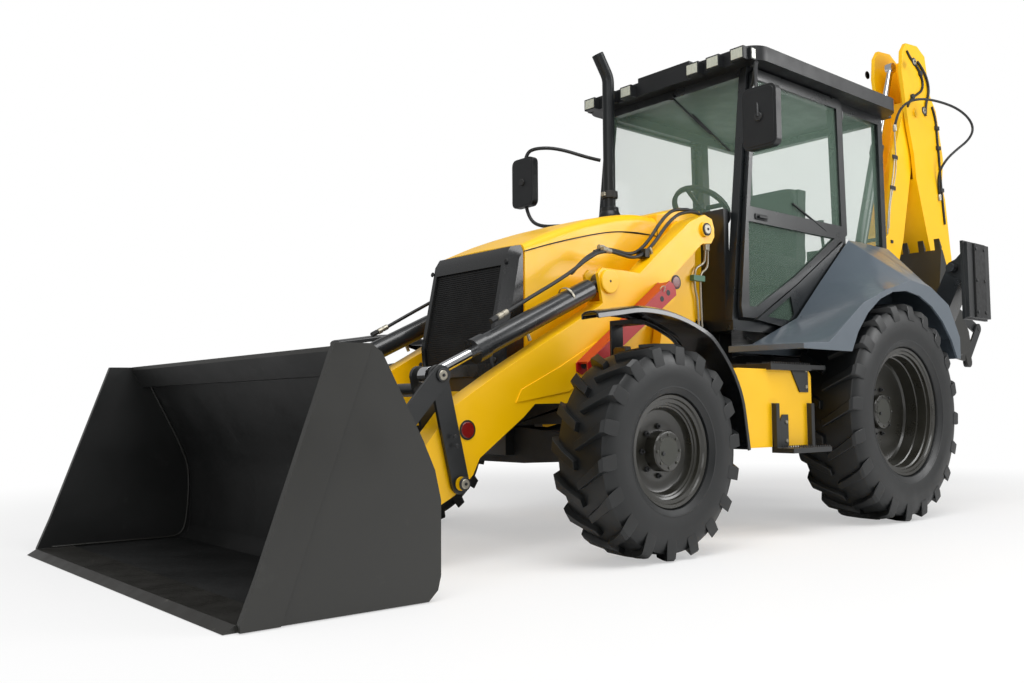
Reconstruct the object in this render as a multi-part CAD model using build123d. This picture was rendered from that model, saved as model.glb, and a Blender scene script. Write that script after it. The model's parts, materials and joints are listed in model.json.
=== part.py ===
from build123d import *
from math import cos, hypot, pi, radians, sin
import os

# Backhoe loader, millimetres. X points forward to the loader, Y to the machine's left, Z up.
# Side-view places (x, z) are measured from the rear axle's centre line on the ground,
# and save() moves every piece so that the middle of the machine's length is at x = 0.

# ---- Driving dimensions -------------------------------------------------------------------
wheelbase = 2175
bucketWidth = 2240
bucketLipX = 4269            # loader bucket's cutting edge
backhoeRearX = -3098         # rearmost point, the tipping lever's eye
midX = (bucketLipX + backhoeRearX) / 2

pinGap = 0.5                 # radial clearance of a pin in its bore
seatGap = 0.3                # clearance between pieces that seat on each other
sideGap = 6                  # running clearance between plates that move past each other

# Wheels: radius over the lugs, section width, wheel centre's distance from the middle plane
frontTyreRadius = 487
frontTyreWidth = 318
frontTyreY = 955
frontRimRadius = 229
frontAxleZ = 484
rearTyreRadius = 652
rearTyreWidth = 408
rearTyreY = 890
rearRimRadius = 356
rearAxleZ = 650
kingpinY = 810

# Chassis
railInnerY = 300
railOuterY = 345
towerInnerY = 370
towerOuterY = 430
rearPlateX = (-840, -1120)   # front and rear plates of the stabilizer frame

# Loader arm lane and pivots (x, z)
armInnerY = 450
armOuterY = 560
armMidY = (armInnerY + armOuterY) / 2
leverThick = 18
armPivot = (1235, 1672)
liftBase = (950, 620)
liftEye = (2200, 780)
tiltBase = (2015, 1316)
leverPivot = (2973, 357)
leverTop = (3090, 821)
bucketPivot = (3300, 240)
linkEye = (3363, 524)
pinRadius = 30

# Cab
outletRadius = 34             # bore of the exhaust's open end
outletDepth = 80
outletTilt = 35               # lean of the stack's tip towards the front, in degrees
cabHalfWidth = 600
doorThick = 28
doorHingeX = -190
floorTopZ = 1180
roofBottomZ = 2700
roofTopZ = 2850
glassThick = 6

# Backhoe pivots (x, z)
swingX = -1470
boomFoot = (-1640, 660)
boomTip = (-2140, 3120)
boomCylinderBase = (-1500, 1030)
boomCylinderEye = (-1680, 1780)
crowdBase = (-1410, 1880)
crowdEye = (-2000, 3500)
curlBase = (-2540, 2760)
curlEye = (-3053, 1362)
tipLeverPivot = (-2702, 1490)
hoeLinkEye = (-2795, 1059)
hoePivot = (-2720, 1250)
boomHalfWidth = 95
dipperHalfWidth = 135
cylinderLane = 62              # half of the lane that the cylinders work in
hoeHalfWidth = 300
bucketEarLane = (dipperHalfWidth + 54, dipperHalfWidth + 74)   # bucket's ears run outside its links

# Stabilizer pivots (y, z), and the arm's lane along the machine
stabilizerPivot = (600, 800)
stabilizerFoot = (980, 1600)
stabilizerEye = (539, 1027)
stabilizerBase = (62, 1290)
stabilizerLaneX = (-900, -1060)


# ---- Shape helpers ------------------------------------------------------------------------
def block(x, y, z):
    """A box from three (low, high) pairs."""
    low = (min(x), min(y), min(z))
    size = (abs(x[1] - x[0]), abs(y[1] - y[0]), abs(z[1] - z[0]))
    return Pos(*low) * Box(*size, align=(Align.MIN, Align.MIN, Align.MIN))


def plate(outline, yFrom, yTo):
    """A side-view outline of (x, z) points, extruded across the machine."""
    face = make_face(Polyline(*outline, close=True))
    return Pos(0, min(yFrom, yTo), 0) * extrude(Plane.XZ * face, amount=-abs(yTo - yFrom))


def slab(outline, xFrom, xTo):
    """A front-view outline of (y, z) points, extruded along the machine."""
    face = make_face(Polyline(*outline, close=True))
    return Pos(min(xFrom, xTo), 0, 0) * extrude(Plane.YZ * face, amount=abs(xTo - xFrom))


def rod(start, end, radius):
    """A round bar between two places."""
    along = Vector(*end) - Vector(*start)
    bar = Cylinder(radius, along.length, align=(Align.CENTER, Align.CENTER, Align.MIN))
    return Plane(origin=start, z_dir=along) * bar


def pinAcross(centre, radius, yFrom, yTo):
    """A round bar across the machine at the side-view place (x, z)."""
    return rod((centre[0], min(yFrom, yTo), centre[1]), (centre[0], max(yFrom, yTo), centre[1]), radius)


def pinAlong(centre, radius, xFrom, xTo):
    """A round bar along the machine at the front-view place (y, z)."""
    return rod((min(xFrom, xTo), *centre), (max(xFrom, xTo), *centre), radius)


def strapOutline(first, second, firstHalf, secondHalf):
    """Four corners of a link between two pins, as wide as its two bosses."""
    run = hypot(second[0] - first[0], second[1] - first[1])
    across = ((first[1] - second[1]) / run, (second[0] - first[0]) / run)
    return [
        (first[0] + across[0] * firstHalf, first[1] + across[1] * firstHalf),
        (first[0] - across[0] * firstHalf, first[1] - across[1] * firstHalf),
        (second[0] - across[0] * secondHalf, second[1] - across[1] * secondHalf),
        (second[0] + across[0] * secondHalf, second[1] + across[1] * secondHalf),
    ]


def strap(first, second, firstHalf, secondHalf, yFrom, yTo):
    """A flat link with round ends, lying in a side-view plane."""
    body = plate(strapOutline(first, second, firstHalf, secondHalf), yFrom, yTo)
    return body + pinAcross(first, firstHalf, yFrom, yTo) + pinAcross(second, secondHalf, yFrom, yTo)


def tube(places, bendRadius, radius):
    """A bent round tube through places, with the same radius at every bend."""
    path = FilletPolyline(*places, radius=bendRadius)
    ring = Plane(origin=places[0], z_dir=path % 0) * Circle(radius)
    return sweep(ring, path=path)


def both(shape):
    """The shape and its mirror image on the machine's other side."""
    return shape + mirror(shape, about=Plane.XZ)


def onTheWay(first, second, distance):
    """The side-view place at a distance from the first place towards the second."""
    run = hypot(second[0] - first[0], second[1] - first[1])
    return tuple(a + (b - a) * distance / run for a, b in zip(first, second))


def save(name, shape):
    export_step(Pos(-midX, 0, 0) * shape, f"parts/{name}.step")


os.makedirs("parts", exist_ok=True)


# ---- Hydraulic cylinders ------------------------------------------------------------------
def barrel(base, eye, barrelLength, radius, yMid, eyeHalf, boreRadius, neckLength):
    """Barrel with its base eye and the thinner neck between them."""
    head = onTheWay(base, eye, barrelLength)
    heel = onTheWay(base, eye, neckLength)
    body = rod((heel[0], yMid, heel[1]), (head[0], yMid, head[1]), radius)
    collar = onTheWay(base, eye, barrelLength - 70)
    body += rod((collar[0], yMid, collar[1]), (head[0], yMid, head[1]), radius + 7)
    neckFrom = onTheWay(base, eye, boreRadius + 4)
    body += rod((neckFrom[0], yMid, neckFrom[1]), (heel[0], yMid, heel[1]), 28)
    body += pinAcross(base, boreRadius + 18, yMid - eyeHalf, yMid + eyeHalf)
    body -= pinAcross(base, boreRadius, yMid - eyeHalf - 1, yMid + eyeHalf + 1)
    return body


def pistonRod(base, eye, tailAt, radius, eyeRadius, yMid, eyeHalf):
    """Chromed rod with its eye. Its tail lies at a distance from the base inside the barrel."""
    tail = onTheWay(base, eye, tailAt)
    neck = onTheWay(eye, base, eyeRadius - 6)
    body = rod((tail[0], yMid, tail[1]), (neck[0], yMid, neck[1]), radius)
    return body + pinAcross(eye, eyeRadius, yMid - eyeHalf, yMid + eyeHalf)


def tunnel(base, eye, barrelLength, radius, yMid, depth):
    """The space that a rod slides in, inside its barrel."""
    tail = onTheWay(base, eye, depth)
    mouth = onTheWay(base, eye, barrelLength + 2)
    return rod((tail[0], yMid, tail[1]), (mouth[0], yMid, mouth[1]), radius + pinGap)


def cylinderPair(base, eye, barrelLength, tailAt, radius, rodRadius, yMid, boreRadius, eyeHalf=28, neckLength=44):
    """A barrel and its rod, which almost reaches the base when it is drawn in."""
    body = barrel(base, eye, barrelLength, radius, yMid, eyeHalf, boreRadius, neckLength)
    body -= tunnel(base, eye, barrelLength, rodRadius, yMid, neckLength + 14)
    inner = pistonRod(base, eye, tailAt, rodRadius, rodRadius + 16, yMid, 28)
    return body, inner


# ---- Wheels -------------------------------------------------------------------------------
wheelSides = 28
lugHeight = 26                # how far the tyres' lugs stand over the carcass


def turned(stations):
    """A turned body across the machine, from (radius, y) stations, with flat facets round it."""
    rings = []
    for radius, y in stations:
        ring = Plane(origin=(0, y, 0), x_dir=(1, 0, 0), z_dir=(0, 1, 0)) * RegularPolygon(radius, wheelSides)
        rings.append(ring)
    return loft(rings, ruled=True)


def tyre(radius, width, rimRadius, treadHalf, lugs):
    """Tyre as a ring: beads, bulging walls and tread, with slanted lugs that meet in arrows."""
    half = width / 2
    wall = radius - rimRadius
    carcass = radius - lugHeight
    bead = (rimRadius + seatGap, 0.70 * half - 1)
    stations = [bead, (rimRadius + 26 + seatGap, 0.80 * half - 11), (rimRadius + 0.36 * wall, half),
                (carcass - 0.12 * wall, 0.95 * half), (carcass, 0.45 * treadHalf)]
    body = turned([(r, -y) for r, y in stations] + stations[::-1])
    body -= turned([(bead[0], -half), (bead[0], half)])
    pitch = 2 * pi * radius / lugs
    bars = []
    for side in (1, -1):
        lug = [(-0.48 * pitch, 6), (-0.18 * pitch, 6), (0.48 * pitch, treadHalf + 11), (0.10 * pitch, treadHalf + 11)]
        outline = make_face(Polyline(*[(along, side * across) for along, across in lug], close=True))
        bar = Pos(0, 0, carcass - 40) * extrude(outline, amount=24 + lugHeight)
        for i in range(lugs):
            bars.append(Rot(0, (i + (0.5 if side < 0 else 0)) * 360 / lugs, 0) * bar)
    return body + bars


def rim(rimRadius, width, discOffset, hubRadius, hubReach, hubInner):
    """Steel rim: flanges and barrel, hollow on both sides of its dished disc, and the hub. Outside is +Y."""
    half = 0.80 * width / 2
    lip = rimRadius + 26
    body = turned([(lip, -half), (lip, -half + 10), (rimRadius, -0.70 * width / 2),
                   (rimRadius, 0.70 * width / 2), (lip, half - 10), (lip, half)])
    body -= turned([(rimRadius - 12, half + 1), (rimRadius - 14, discOffset + 60), (rimRadius - 34, discOffset + 16),
                    (hubRadius + 60, discOffset + 10)])
    body -= turned([(rimRadius - 12, -half - 1), (rimRadius - 26, -half + 30), (rimRadius - 44, discOffset - 4)])
    body += pinAcross((0, 0), hubRadius, discOffset - 1, hubReach)
    return body + pinAcross((0, 0), hubRadius, hubInner, discOffset + 5)


# Each wheel: name, axle x, axle z, tyre radius, width, wheel y, rim radius, tread half width,
# lugs in a row, disc offset, hub radius, hub's outer and inner reach from the wheel's middle plane
wheelTable = [
    ("front", wheelbase, frontAxleZ, frontTyreRadius, frontTyreWidth, frontTyreY, frontRimRadius,
     145, 14, 40, 92, 112, -6),
    ("rear", 0, rearAxleZ, rearTyreRadius, rearTyreWidth, rearTyreY, rearRimRadius,
     182, 14, -20, 105, 30, -170),
]
for name, x, z, radius, width, y, rimRadius, treadHalf, lugs, disc, hub, hubOut, hubIn in wheelTable:
    leftTyre = Pos(x, y, z) * tyre(radius, width, rimRadius, treadHalf, lugs)
    leftRim = Pos(x, y, z) * rim(rimRadius, width, disc, hub, hubOut, hubIn)
    save(f"{name}_tyre_left", leftTyre)
    save(f"{name}_rim_left", leftRim)
    save(f"{name}_tyre_right", mirror(leftTyre, about=Plane.XZ))
    save(f"{name}_rim_right", mirror(leftRim, about=Plane.XZ))

# ---- Chassis ------------------------------------------------------------------------------
railFrontX = wheelbase + 305
railOutline = [(railFrontX, 600), (railFrontX, 800), (1500, 860), (600, 1000), (rearPlateX[0], 1000),
               (rearPlateX[0], 780), (500, 780), (1250, 600)]
frame = both(plate(railOutline, railInnerY, railOuterY))
crossMembers = [(railFrontX - 40, railFrontX, 600, 840 - seatGap), (1400, 1450, 575, 603), (-840, -800, 780, 1000)]
for xFrom, xTo, zFrom, zTo in crossMembers:
    frame += block((xFrom, xTo), (-railInnerY - 5, railInnerY + 5), (zFrom, zTo))
for xFrom in (wheelbase - 130, wheelbase + 70):
    frame += block((xFrom, xFrom + 60), (-railInnerY, railInnerY), (600, 700))
    frame += block((xFrom, xFrom + 60), (-90, 90), (440, 600))
for x in (-600, 780):
    frame += both(block((x - 60, x + 60), (railInnerY, railOuterY), (960, 1120)))
towerBase = block((1170, 1480), (railOuterY, towerInnerY), (600, 860))
frame += both(towerBase)
tankBracket = block((600, 700), (railOuterY - 5, 640), (860, 900)) + block((600, 700), (600, 640), (700, 900))
tankBracket += block((600, 800 - seatGap), (622, 676), (700, 760))
frame += both(tankBracket)
save("main_frame", frame)

# Front axle: a beam that rocks on the frame's centre trunnion, with kingpin ends
beamX = (wheelbase - 70 + seatGap, wheelbase + 70 - seatGap)
axleBeam = slab([(-690, 430), (-160, 400), (160, 400), (690, 430), (690, 540), (160, 585),
                 (-160, 585), (-690, 540)], *beamX)
for side in (1, -1):
    end = Pos(wheelbase, side * kingpinY, frontAxleZ) * Cylinder(58, 154 - 2 * seatGap)
    neck = block((wheelbase - 45, wheelbase + 45), (side * 680, side * kingpinY), (435, 535))
    axleBeam += end + neck
save("front_axle_beam", axleBeam)

# Rear axle: differential housing, trumpets and mounting pads under the rails
rearAxle = Pos(0, 0, rearAxleZ) * Rot(90, 0, 0) * Cylinder(190, 300)
for side in (1, -1):
    rearAxle += pinAcross((0, rearAxleZ), 105, side * 140, side * 690)
    rearAxle += pinAcross((0, rearAxleZ), 150, side * 660, side * (rearTyreY - 170 - seatGap))
    rearAxle += block((-110, 110), (side * 280, side * 365), (700, 780))
save("rear_axle", rearAxle)

# Driveline that shows from below: gearbox, engine and the shafts to both axles
driveline = block((400, 1420), (-190, 190), (620, 940))
driveline += block((1404, 2300), (-230, 230), (820, 1380))
driveline += block((1480, 2200), (-180, 180), (700, 830))
driveline += rod((191, 0, rearAxleZ), (405, 0, rearAxleZ), 38)
driveline += rod((1410, 0, 660), (wheelbase - 139, 0, 522), 30)
save("driveline", driveline)

# Loader towers: upright box plates that carry the arms' pivot pins
towerOutline = [(1170, 600), (1480, 600), (1480, 1020), (1400, 1400), (1315, 1700), (1260, 1744),
                (1195, 1740), (1160, 1690), (1170, 1300)]
tower = plate(towerOutline, towerInnerY, towerOuterY)
tower += pinAcross(armPivot, 42, towerOuterY, armOuterY + 14)
tower += pinAcross(armPivot, 75, towerOuterY, armInnerY - 5)
towers = both(tower)
towers += block((1180, 1280), (-towerInnerY, towerInnerY), (1000, 1110))
liftPost = plate([(890, 540), (1010, 540), (1170, 600), (1170, 900), (1010, 720), (890, 700)],
                 towerInnerY, towerOuterY)
liftPost += pinAcross(liftBase, 32, towerOuterY, armOuterY + 10)
towers += both(liftPost)
save("loader_towers", towers)


# ---- Front axle knuckles ------------------------------------------------------------------
def knuckle():
    """C-shaped knuckle round the axle's end, and the hub that carries the wheel."""
    body = Pos(wheelbase, kingpinY, frontAxleZ + 91) * Cylinder(62, 28)
    body += Pos(wheelbase, kingpinY, frontAxleZ - 91) * Cylinder(62, 28)
    for low in (77, -105):
        body += block((wheelbase - 58, wheelbase + 58), (kingpinY, 915), (frontAxleZ + low, frontAxleZ + low + 28))
    body += block((wheelbase - 58, wheelbase + 58), (kingpinY + 72, 915), (frontAxleZ - 105, frontAxleZ + 105))
    body += pinAcross((wheelbase, frontAxleZ), 80, 900, frontTyreY - 6 - seatGap)
    return body


save("knuckle_left", knuckle())
save("knuckle_right", mirror(knuckle(), about=Plane.XZ))

# ---- Engine bay ---------------------------------------------------------------------------
hoodHalfWidth = 352
hoodRearX = 1400
hoodHinge = (hoodRearX + 13, 1760)
noseX = 2400
hoodBevel = 44                # width of the bevel along the hood's two upper edges
hoodStations = [(hoodRearX + 1.5, 1650, 1760), (hoodHinge[0], 1649.5, 1771.5), (1650, 1641, 1745), (1755, 1637, 1722),
                (1900, 1601.5, 1690), (2199, 1528, 1585), (2380, 1470, 1500), (noseX - 6, 1465, 1492)]


def hoodForm(wall):
    """The hood's form between its seam and its top, drawn in by a wall's thickness and open below."""
    faces = []
    for x, low, high in hoodStations:
        top = high - wall
        bottom = low - wall
        half = hoodHalfWidth - wall
        bevel = min(hoodBevel, 0.7 * (top - low))
        line = [(-half, bottom), (half, bottom), (half, top - bevel), (half - bevel, top), (bevel - half, top), (-half, top - bevel)]
        faces.append(Plane(origin=(x, 0, 0), x_dir=(0, 1, 0), z_dir=(1, 0, 0)) * make_face(Polyline(*line, close=True)))
    return loft(faces, ruled=True)


hood = hoodForm(0) - hoodForm(14)
for y in (-250, 250):
    hood += pinAcross(hoodHinge, 12, y - 40, y + 40)
save("hood", hood)

panelOutline = [(hoodRearX + seatGap, 885), (noseX - 6, 840), (noseX - 6, 1460), (2199, 1523), (1755, 1632),
                (hoodRearX + seatGap, 1645)]
sidePanels = both(plate(panelOutline, hoodHalfWidth - 16, hoodHalfWidth))

noseOutline = [(noseX, 840), (2547, 840), (2562, 1000), (2519, 1204), (2470, 1440), (2440, 1485),
               (noseX, 1492)]
nose = plate(noseOutline, -345, 345)
nose = chamfer([e for e in nose.edges() if abs(abs(e.center().Y) - 345) < 1 and e.center().X > 2435
                and abs((e @ 1 - e @ 0).Z) > 20], 48)
nose -= block((2430, 2600), (-270, 270), (900, 1390))
nose -= block((noseX - 1, 2440), (-300, 300), (880, 1420))
nose += block((2405, 2428), (-301, 301), (879, 1421))
for i in range(9):
    z = 930 + i * 52
    nose += plate([(2442, z), (2468, z - 10), (2468, z + 4), (2442, z + 14)], -272, 272)
save("nose_and_panels", nose + sidePanels)

cowlFrontX = 1004 + seatGap
cowl = plate([(cowlFrontX, 1190), (hoodRearX, 1190), (hoodRearX, 1775), (1300, 1800), (1195, 1838),
              (cowlFrontX, 1838)], -352, 352)
save("cowl", cowl)

# Exhaust stack on the cowl's right side
stack = Pos(1120, -275, 1838 + seatGap) * Cone(62, 56, 110, align=(Align.CENTER, Align.CENTER, Align.MIN))
tipBend = (1120, -275, 2790)
tipWay = (sin(radians(outletTilt)), 0, cos(radians(outletTilt)))
tipEnd = tuple(c + 165 * w for c, w in zip(tipBend, tipWay))
stack += tube([(1120, -275, 1945), tipBend, tipEnd], 110, 38)
boreFrom = tuple(c - outletDepth * w for c, w in zip(tipEnd, tipWay))
boreTo = tuple(c + 2 * w for c, w in zip(tipEnd, tipWay))
stack -= rod(boreFrom, boreTo, outletRadius)
save("exhaust_stack", stack)

# ---- Cab ----------------------------------------------------------------------------------
def pane(outline):
    """A light's outline drawn towards its middle, which leaves the glass a small gap all round."""
    midU = sum(u for u, v in outline) / len(outline)
    midV = sum(v for u, v in outline) / len(outline)
    return [(midU + (u - midU) * 0.9993, midV + (v - midV) * 0.9993) for u, v in outline]


doorInnerY = cabHalfWidth - 32 + sideGap
doorOuterY = doorInnerY + doorThick
fenderInnerY = doorOuterY + 10
quarterLight = [(470, 1350), (720, 1212), (480, 1200), (440, 1240)]

# Side view of each post: bottom place, top place, fore-aft width
pillarTable = [((985, floorTopZ), (796, roofBottomZ), 52), ((-215, floorTopZ), (-165, roofBottomZ), 74),
               ((-748, floorTopZ), (-725, roofBottomZ), 56)]
cabFrame = block((-776, 1004), (-cabHalfWidth + 32, cabHalfWidth - 32), (1120, floorTopZ))
for bottom, top, width in pillarTable:
    post = plate([(bottom[0] - width / 2, bottom[1]), (bottom[0] + width / 2, bottom[1]),
                  (top[0] + width / 2, top[1]), (top[0] - width / 2, top[1])],
                 cabHalfWidth - 82, cabHalfWidth - 32)
    cabFrame += both(post)
cabFrame += both(block((-753, 822), (cabHalfWidth - 82, cabHalfWidth - 32), (roofBottomZ - 60, roofBottomZ)))
cabFrame += block((770, 822), (-cabHalfWidth + 32, cabHalfWidth - 32), (roofBottomZ - 50, roofBottomZ))
cabFrame += block((-753, -697), (-cabHalfWidth + 32, cabHalfWidth - 32), (roofBottomZ - 50, roofBottomZ))
cabFrame += block((-774, -740), (-cabHalfWidth + 32, cabHalfWidth - 32), (floorTopZ, 1700))
cabFrame += block((960, 1004), (-cabHalfWidth + 82, cabHalfWidth - 82), (floorTopZ, 1830))
quarterPanel = plate([(-140, 1752), (400, 1422), (818, 1188), (470, 1150), (330, 1150), (-140, 1560)],
                     doorInnerY, doorOuterY)
quarterPanel += block((300, 420), (cabHalfWidth - 33, doorInnerY + 1), (1130, 1175))
quarterPanel += plate([(-240, 1560), (-130, 1560), (-130, 1740), (-240, 1740)], cabHalfWidth - 33, doorInnerY)
quarterPanel -= plate(quarterLight, doorInnerY - 1, doorOuterY + 1)
fenderBracket = block((-700, -640), (cabHalfWidth - 33, fenderInnerY - seatGap), (1130, 1170))
cabFrame += both(quarterPanel + fenderBracket)
save("cab_frame", cabFrame)

roofMiddleX = 70
brimTop = roofTopZ - 62
roof = Pos(roofMiddleX, 0, roofBottomZ + seatGap) * extrude(RectangleRounded(1680, 1400, 120), amount=brimTop - roofBottomZ)
crown = [Pos(roofMiddleX, 0, brimTop) * RectangleRounded(1680, 1400, 120),
         Pos(roofMiddleX - 20, 0, roofTopZ) * RectangleRounded(1430, 1080, 100)]
roof += loft(crown, ruled=True)
roof += block((roofMiddleX + 560, roofMiddleX + 838), (-210, 210), (brimTop - 2, brimTop + 30))
save("cab_roof", roof)

windshield = plate([(912, 1831), (918, 1831), (818, 2649), (812, 2649)], -cabHalfWidth + 82.4, cabHalfWidth - 82.4)
rearGlass = block((-752, -752 + glassThick), (-cabHalfWidth + 82.4, cabHalfWidth - 82.4), (1701, 2649))
sideGlass = plate([(-234, 1790), (-206, 2639), (-697, 2639), (-709, 1790)],
                  cabHalfWidth - 60, cabHalfWidth - 60 + glassThick)
quarterGlass = plate(pane(quarterLight), doorInnerY + 10, doorInnerY + 10 + glassThick)
save("cab_glass", windshield + rearGlass + both(sideGlass + quarterGlass))

# Doors: hinged on the middle posts, cut low at the rear to follow the fender
doorOutline = [(955, 1195), (968, 1260), (800, 2660), (770, 2690), (-150, 2690), (-172, 2640), (-196, 1800),
               (400, 1430), (830, 1195)]
upperLight = [(862, 1850), (768, 2625), (-108, 2625), (-130, 1850)]
lowerLight = [(890, 1262), (880, 1760), (-40, 1760), (420, 1475), (820, 1262)]
doorFrame = plate(doorOutline, doorInnerY, doorOuterY)
for light in (upperLight, lowerLight):
    doorFrame -= plate(light, doorInnerY - 1, doorOuterY + 1)
    doorFrame += plate(pane(light), doorInnerY + 10, doorInnerY + 10 + glassThick)
for z in (1850, 2570):
    doorFrame += block((doorHingeX + 1, doorHingeX + 80), (doorInnerY - sideGap + seatGap, doorInnerY + 1), (z, z + 55))
    doorFrame += Pos(doorHingeX, doorOuterY - 14, z) * extrude(Circle(13), amount=55)
save("door_left", doorFrame)
save("door_right", mirror(doorFrame, about=Plane.XZ))

# Inside the cab
interior = plate([(640, floorTopZ + seatGap), (940, floorTopZ + seatGap), (900, 1790), (800, 1860), (700, 1840), (690, 1500)],
                 -170, 170)
interior += rod((730, 0, 1800), (560, 0, 1960), 24)
wheelTilt = 38
steeringRing = extrude(RegularPolygon(200, 24) - RegularPolygon(172, 24), amount=13, both=True)
steeringWheel = steeringRing + extrude(RegularPolygon(40, 12), amount=15, both=True)
steeringWheel += Box(362, 30, 12) + Box(30, 362, 12)
interior += Pos(548, 0, 1972) * Rot(0, -wheelTilt, 0) * steeringWheel
interior += block((-220, 120), (-150, 150), (floorTopZ + seatGap, 1480))
interior += block((-280, 210), (-240, 240), (1480, 1610))
interior += plate([(-290, 1609), (-180, 1609), (-240, 2180), (-330, 2180)], -220, 220)
interior += both(block((-640, -480), (120, 300), (floorTopZ + seatGap, 1780))
                 + rod((-560, 210, 1775), (-540, 200, 1960), 11)
                 + Pos(-540, 200, 1955) * extrude(RegularPolygon(24, 8), amount=46))
save("cab_interior", interior)

# Mirrors on bent tubes from the front posts
mirrorArm = tube([(925, cabHalfWidth - 55, 1900), (1000, cabHalfWidth - 55, 1895), (1222, 880, 1905),
                  (1234, 950, 2062)], 50, 14)
mirrorHead = block((1206, 1262), (812, 1094), (2069, 2364)) + rod((1234, 950, 2040), (1234, 950, 2072), 16)
fittings = both(mirrorArm + mirrorHead)

# Work lamps under the roof's edges: x, y, z
lampTable = [(910.3, 273), (910.3, 426), (910.3, 602), (-770.3, 300), (-770.3, 560)]
for x, y in lampTable:
    fittings += both(pinAlong((y, 2742), 42, x, x + (52 if x > 0 else -44)))
save("lamps_and_mirrors", fittings)

# ---- Fenders, tanks and steps -------------------------------------------------------------
outerRim = [(1112, 985), (1112, 1013), (864, 1029), (500, 1266), (239, 1360), (-63, 1438), (-313, 1415),
            (-540, 1320), (-680, 1120), (-680, 985)]
innerRim = [(1112, 985), (1112, 1020), (890, 1042), (430, 1218), (150, 1470), (-190, 1765), (-450, 1765),
            (-700, 1760), (-740, 1120), (-740, 985)]
fenderOuterY = 1090
fenderWall = 14


def fenderBody(ends, inset, bottom):
    """The fender's form between its inner and outer lines, drawn in by an inset down to a bottom height."""
    faces = []
    for y, line in ends:
        drawn = make_face(Polyline(*[(x, z if z > 990 else bottom) for x, z in line], close=True))
        if inset:
            drawn = offset(drawn, amount=-inset, kind=Kind.INTERSECTION)
        faces.append(Plane(origin=(0, y, 0), x_dir=(1, 0, 0), z_dir=(0, -1, 0)) * drawn)
    return loft(faces, ruled=True)


fender = fenderBody(((fenderInnerY, innerRim), (fenderOuterY, outerRim)), 0, 985)
fender -= fenderBody(((fenderInnerY + fenderWall, innerRim), (fenderOuterY - fenderWall, outerRim)), fenderWall, 900)
arch = turned([(rearTyreRadius + 68, fenderInnerY + 26), (rearTyreRadius + 68, fenderOuterY + 10)])
fender -= Pos(0, 0, rearAxleZ) * arch
save("rear_fenders", both(fender))


def band(outline, thickness):
    """A strip of even thickness under an open line of (x, z) points, rear to front."""
    lower = []
    for i, (x, z) in enumerate(outline):
        before = outline[max(i - 1, 0)]
        after = outline[min(i + 1, len(outline) - 1)]
        run = hypot(after[0] - before[0], after[1] - before[1])
        lower.append((x + (after[1] - before[1]) / run * thickness, z - (after[0] - before[0]) / run * thickness))
    return outline + lower[::-1]


fenderOffsets = [(-575, 470), (-555, 583), (-535, 713), (-446, 875), (-313, 1009), (-61, 1098), (207, 1130),
                 (474, 1095)]
frontFenderLine = [(wheelbase + dx, z) for dx, z in fenderOffsets]
frontFender = plate(band(frontFenderLine[:4], 14), 872, 1104) + plate(band(frontFenderLine[3:], 14), 830, 1104)
frontFender += block((wheelbase - 40, wheelbase + 40), (752, 788), (frontAxleZ + 105 + seatGap, 601))
frontFender += block((wheelbase - 40, wheelbase + 40), (752, 764), (frontAxleZ + 105 + seatGap, 1085))
frontFender += block((wheelbase - 40, wheelbase + 40), (752, 900), (1071, 1094))
save("front_fender_left", frontFender)
save("front_fender_right", mirror(frontFender, about=Plane.XZ))

# Side tanks with the steps into the cab
tank = block((800, 1508), (620, 930), (470, 880))
tank = fillet(tank.edges().filter_by(Axis.Y), 40)
tank += block((840, 1220), (620, 960), (876, 910)) + block((700, 860), (620, 960), (884, 910))
tank += block((820, 1180), (938, 1060), (440, 466))
for x in (820, 1150):
    tank += block((x, x + 30), (926, 960), (440, 700))
save("side_tanks", both(tank))

# ---- Loader arms --------------------------------------------------------------------------
armOutline = [(1150, 1690), (1170, 1740), (1235, 1757), (1363, 1702), (1619, 1508), (1780, 1378),
              (1894, 1381), (2063, 1381), (2092, 1352), (2059, 1203), (2085, 1186), (2487, 975),
              (2732, 843), (2988, 694), (3330, 320), (3375, 240), (3330, 172), (3270, 172),
              (2989, 306), (2889, 388), (2850, 461), (2590, 640), (2520, 700), (2295, 703), (2120, 740),
              (2084, 880), (1783, 1222), (1624, 1302), (1260, 1590), (1180, 1600), (1150, 1640)]
arm = plate(armOutline, armInnerY, armOuterY)
arm -= pinAcross(armPivot, 42 + pinGap, armInnerY - 1, armOuterY + 1)
eyeLane = (armMidY - 36, armMidY + 36)
arm -= block((1840, 2140), eyeLane, (1216, 1420))
arm -= plate([(2060, 640), (2360, 640), (2330, 900), (2100, 940)], *eyeLane)
arm += pinAcross(tiltBase, pinRadius, armInnerY - 8, armOuterY + 8)
arm += pinAcross(leverPivot, pinRadius, armInnerY - 26, armOuterY + 26)
arm += pinAcross(bucketPivot, pinRadius, armInnerY - 26, armOuterY + 26)
for side in (armInnerY - 6, armOuterY):
    arm += pinAcross(liftEye, 46, side, side + 6)
arms = both(arm)
arms += block((2640, 2800), (-armInnerY, armInnerY), (600, 760))
arms += both(plate([(1513, 1262), (1610, 1330), (2090, 940), (2214, 816), (2186, 780), (2060, 880)],
                   armOuterY - 1, armOuterY + 10))
save("loader_arms", arms)

# Tilt levers, one plate on each side of each arm, with a cross tube that ties both sides
leverLanes = [(armOuterY + sideGap, armOuterY + sideGap + leverThick),
              (armInnerY - sideGap - leverThick, armInnerY - sideGap)]
lever = None
for lane in leverLanes:
    blade = strap(leverPivot, leverTop, 46, 46, *lane) - pinAcross(leverPivot, pinRadius + pinGap, lane[0] - 1, lane[1] + 1)
    lever = blade if lever is None else lever + blade
lever += pinAcross(leverTop, 24, leverLanes[0][1], leverLanes[0][1] + sideGap + 18)
levers = both(lever)
crossTubeAt = onTheWay(leverTop, leverPivot, 60)
levers += pinAcross(crossTubeAt, 30, -leverLanes[1][0], leverLanes[1][0])
save("tilt_levers", levers)

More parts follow.
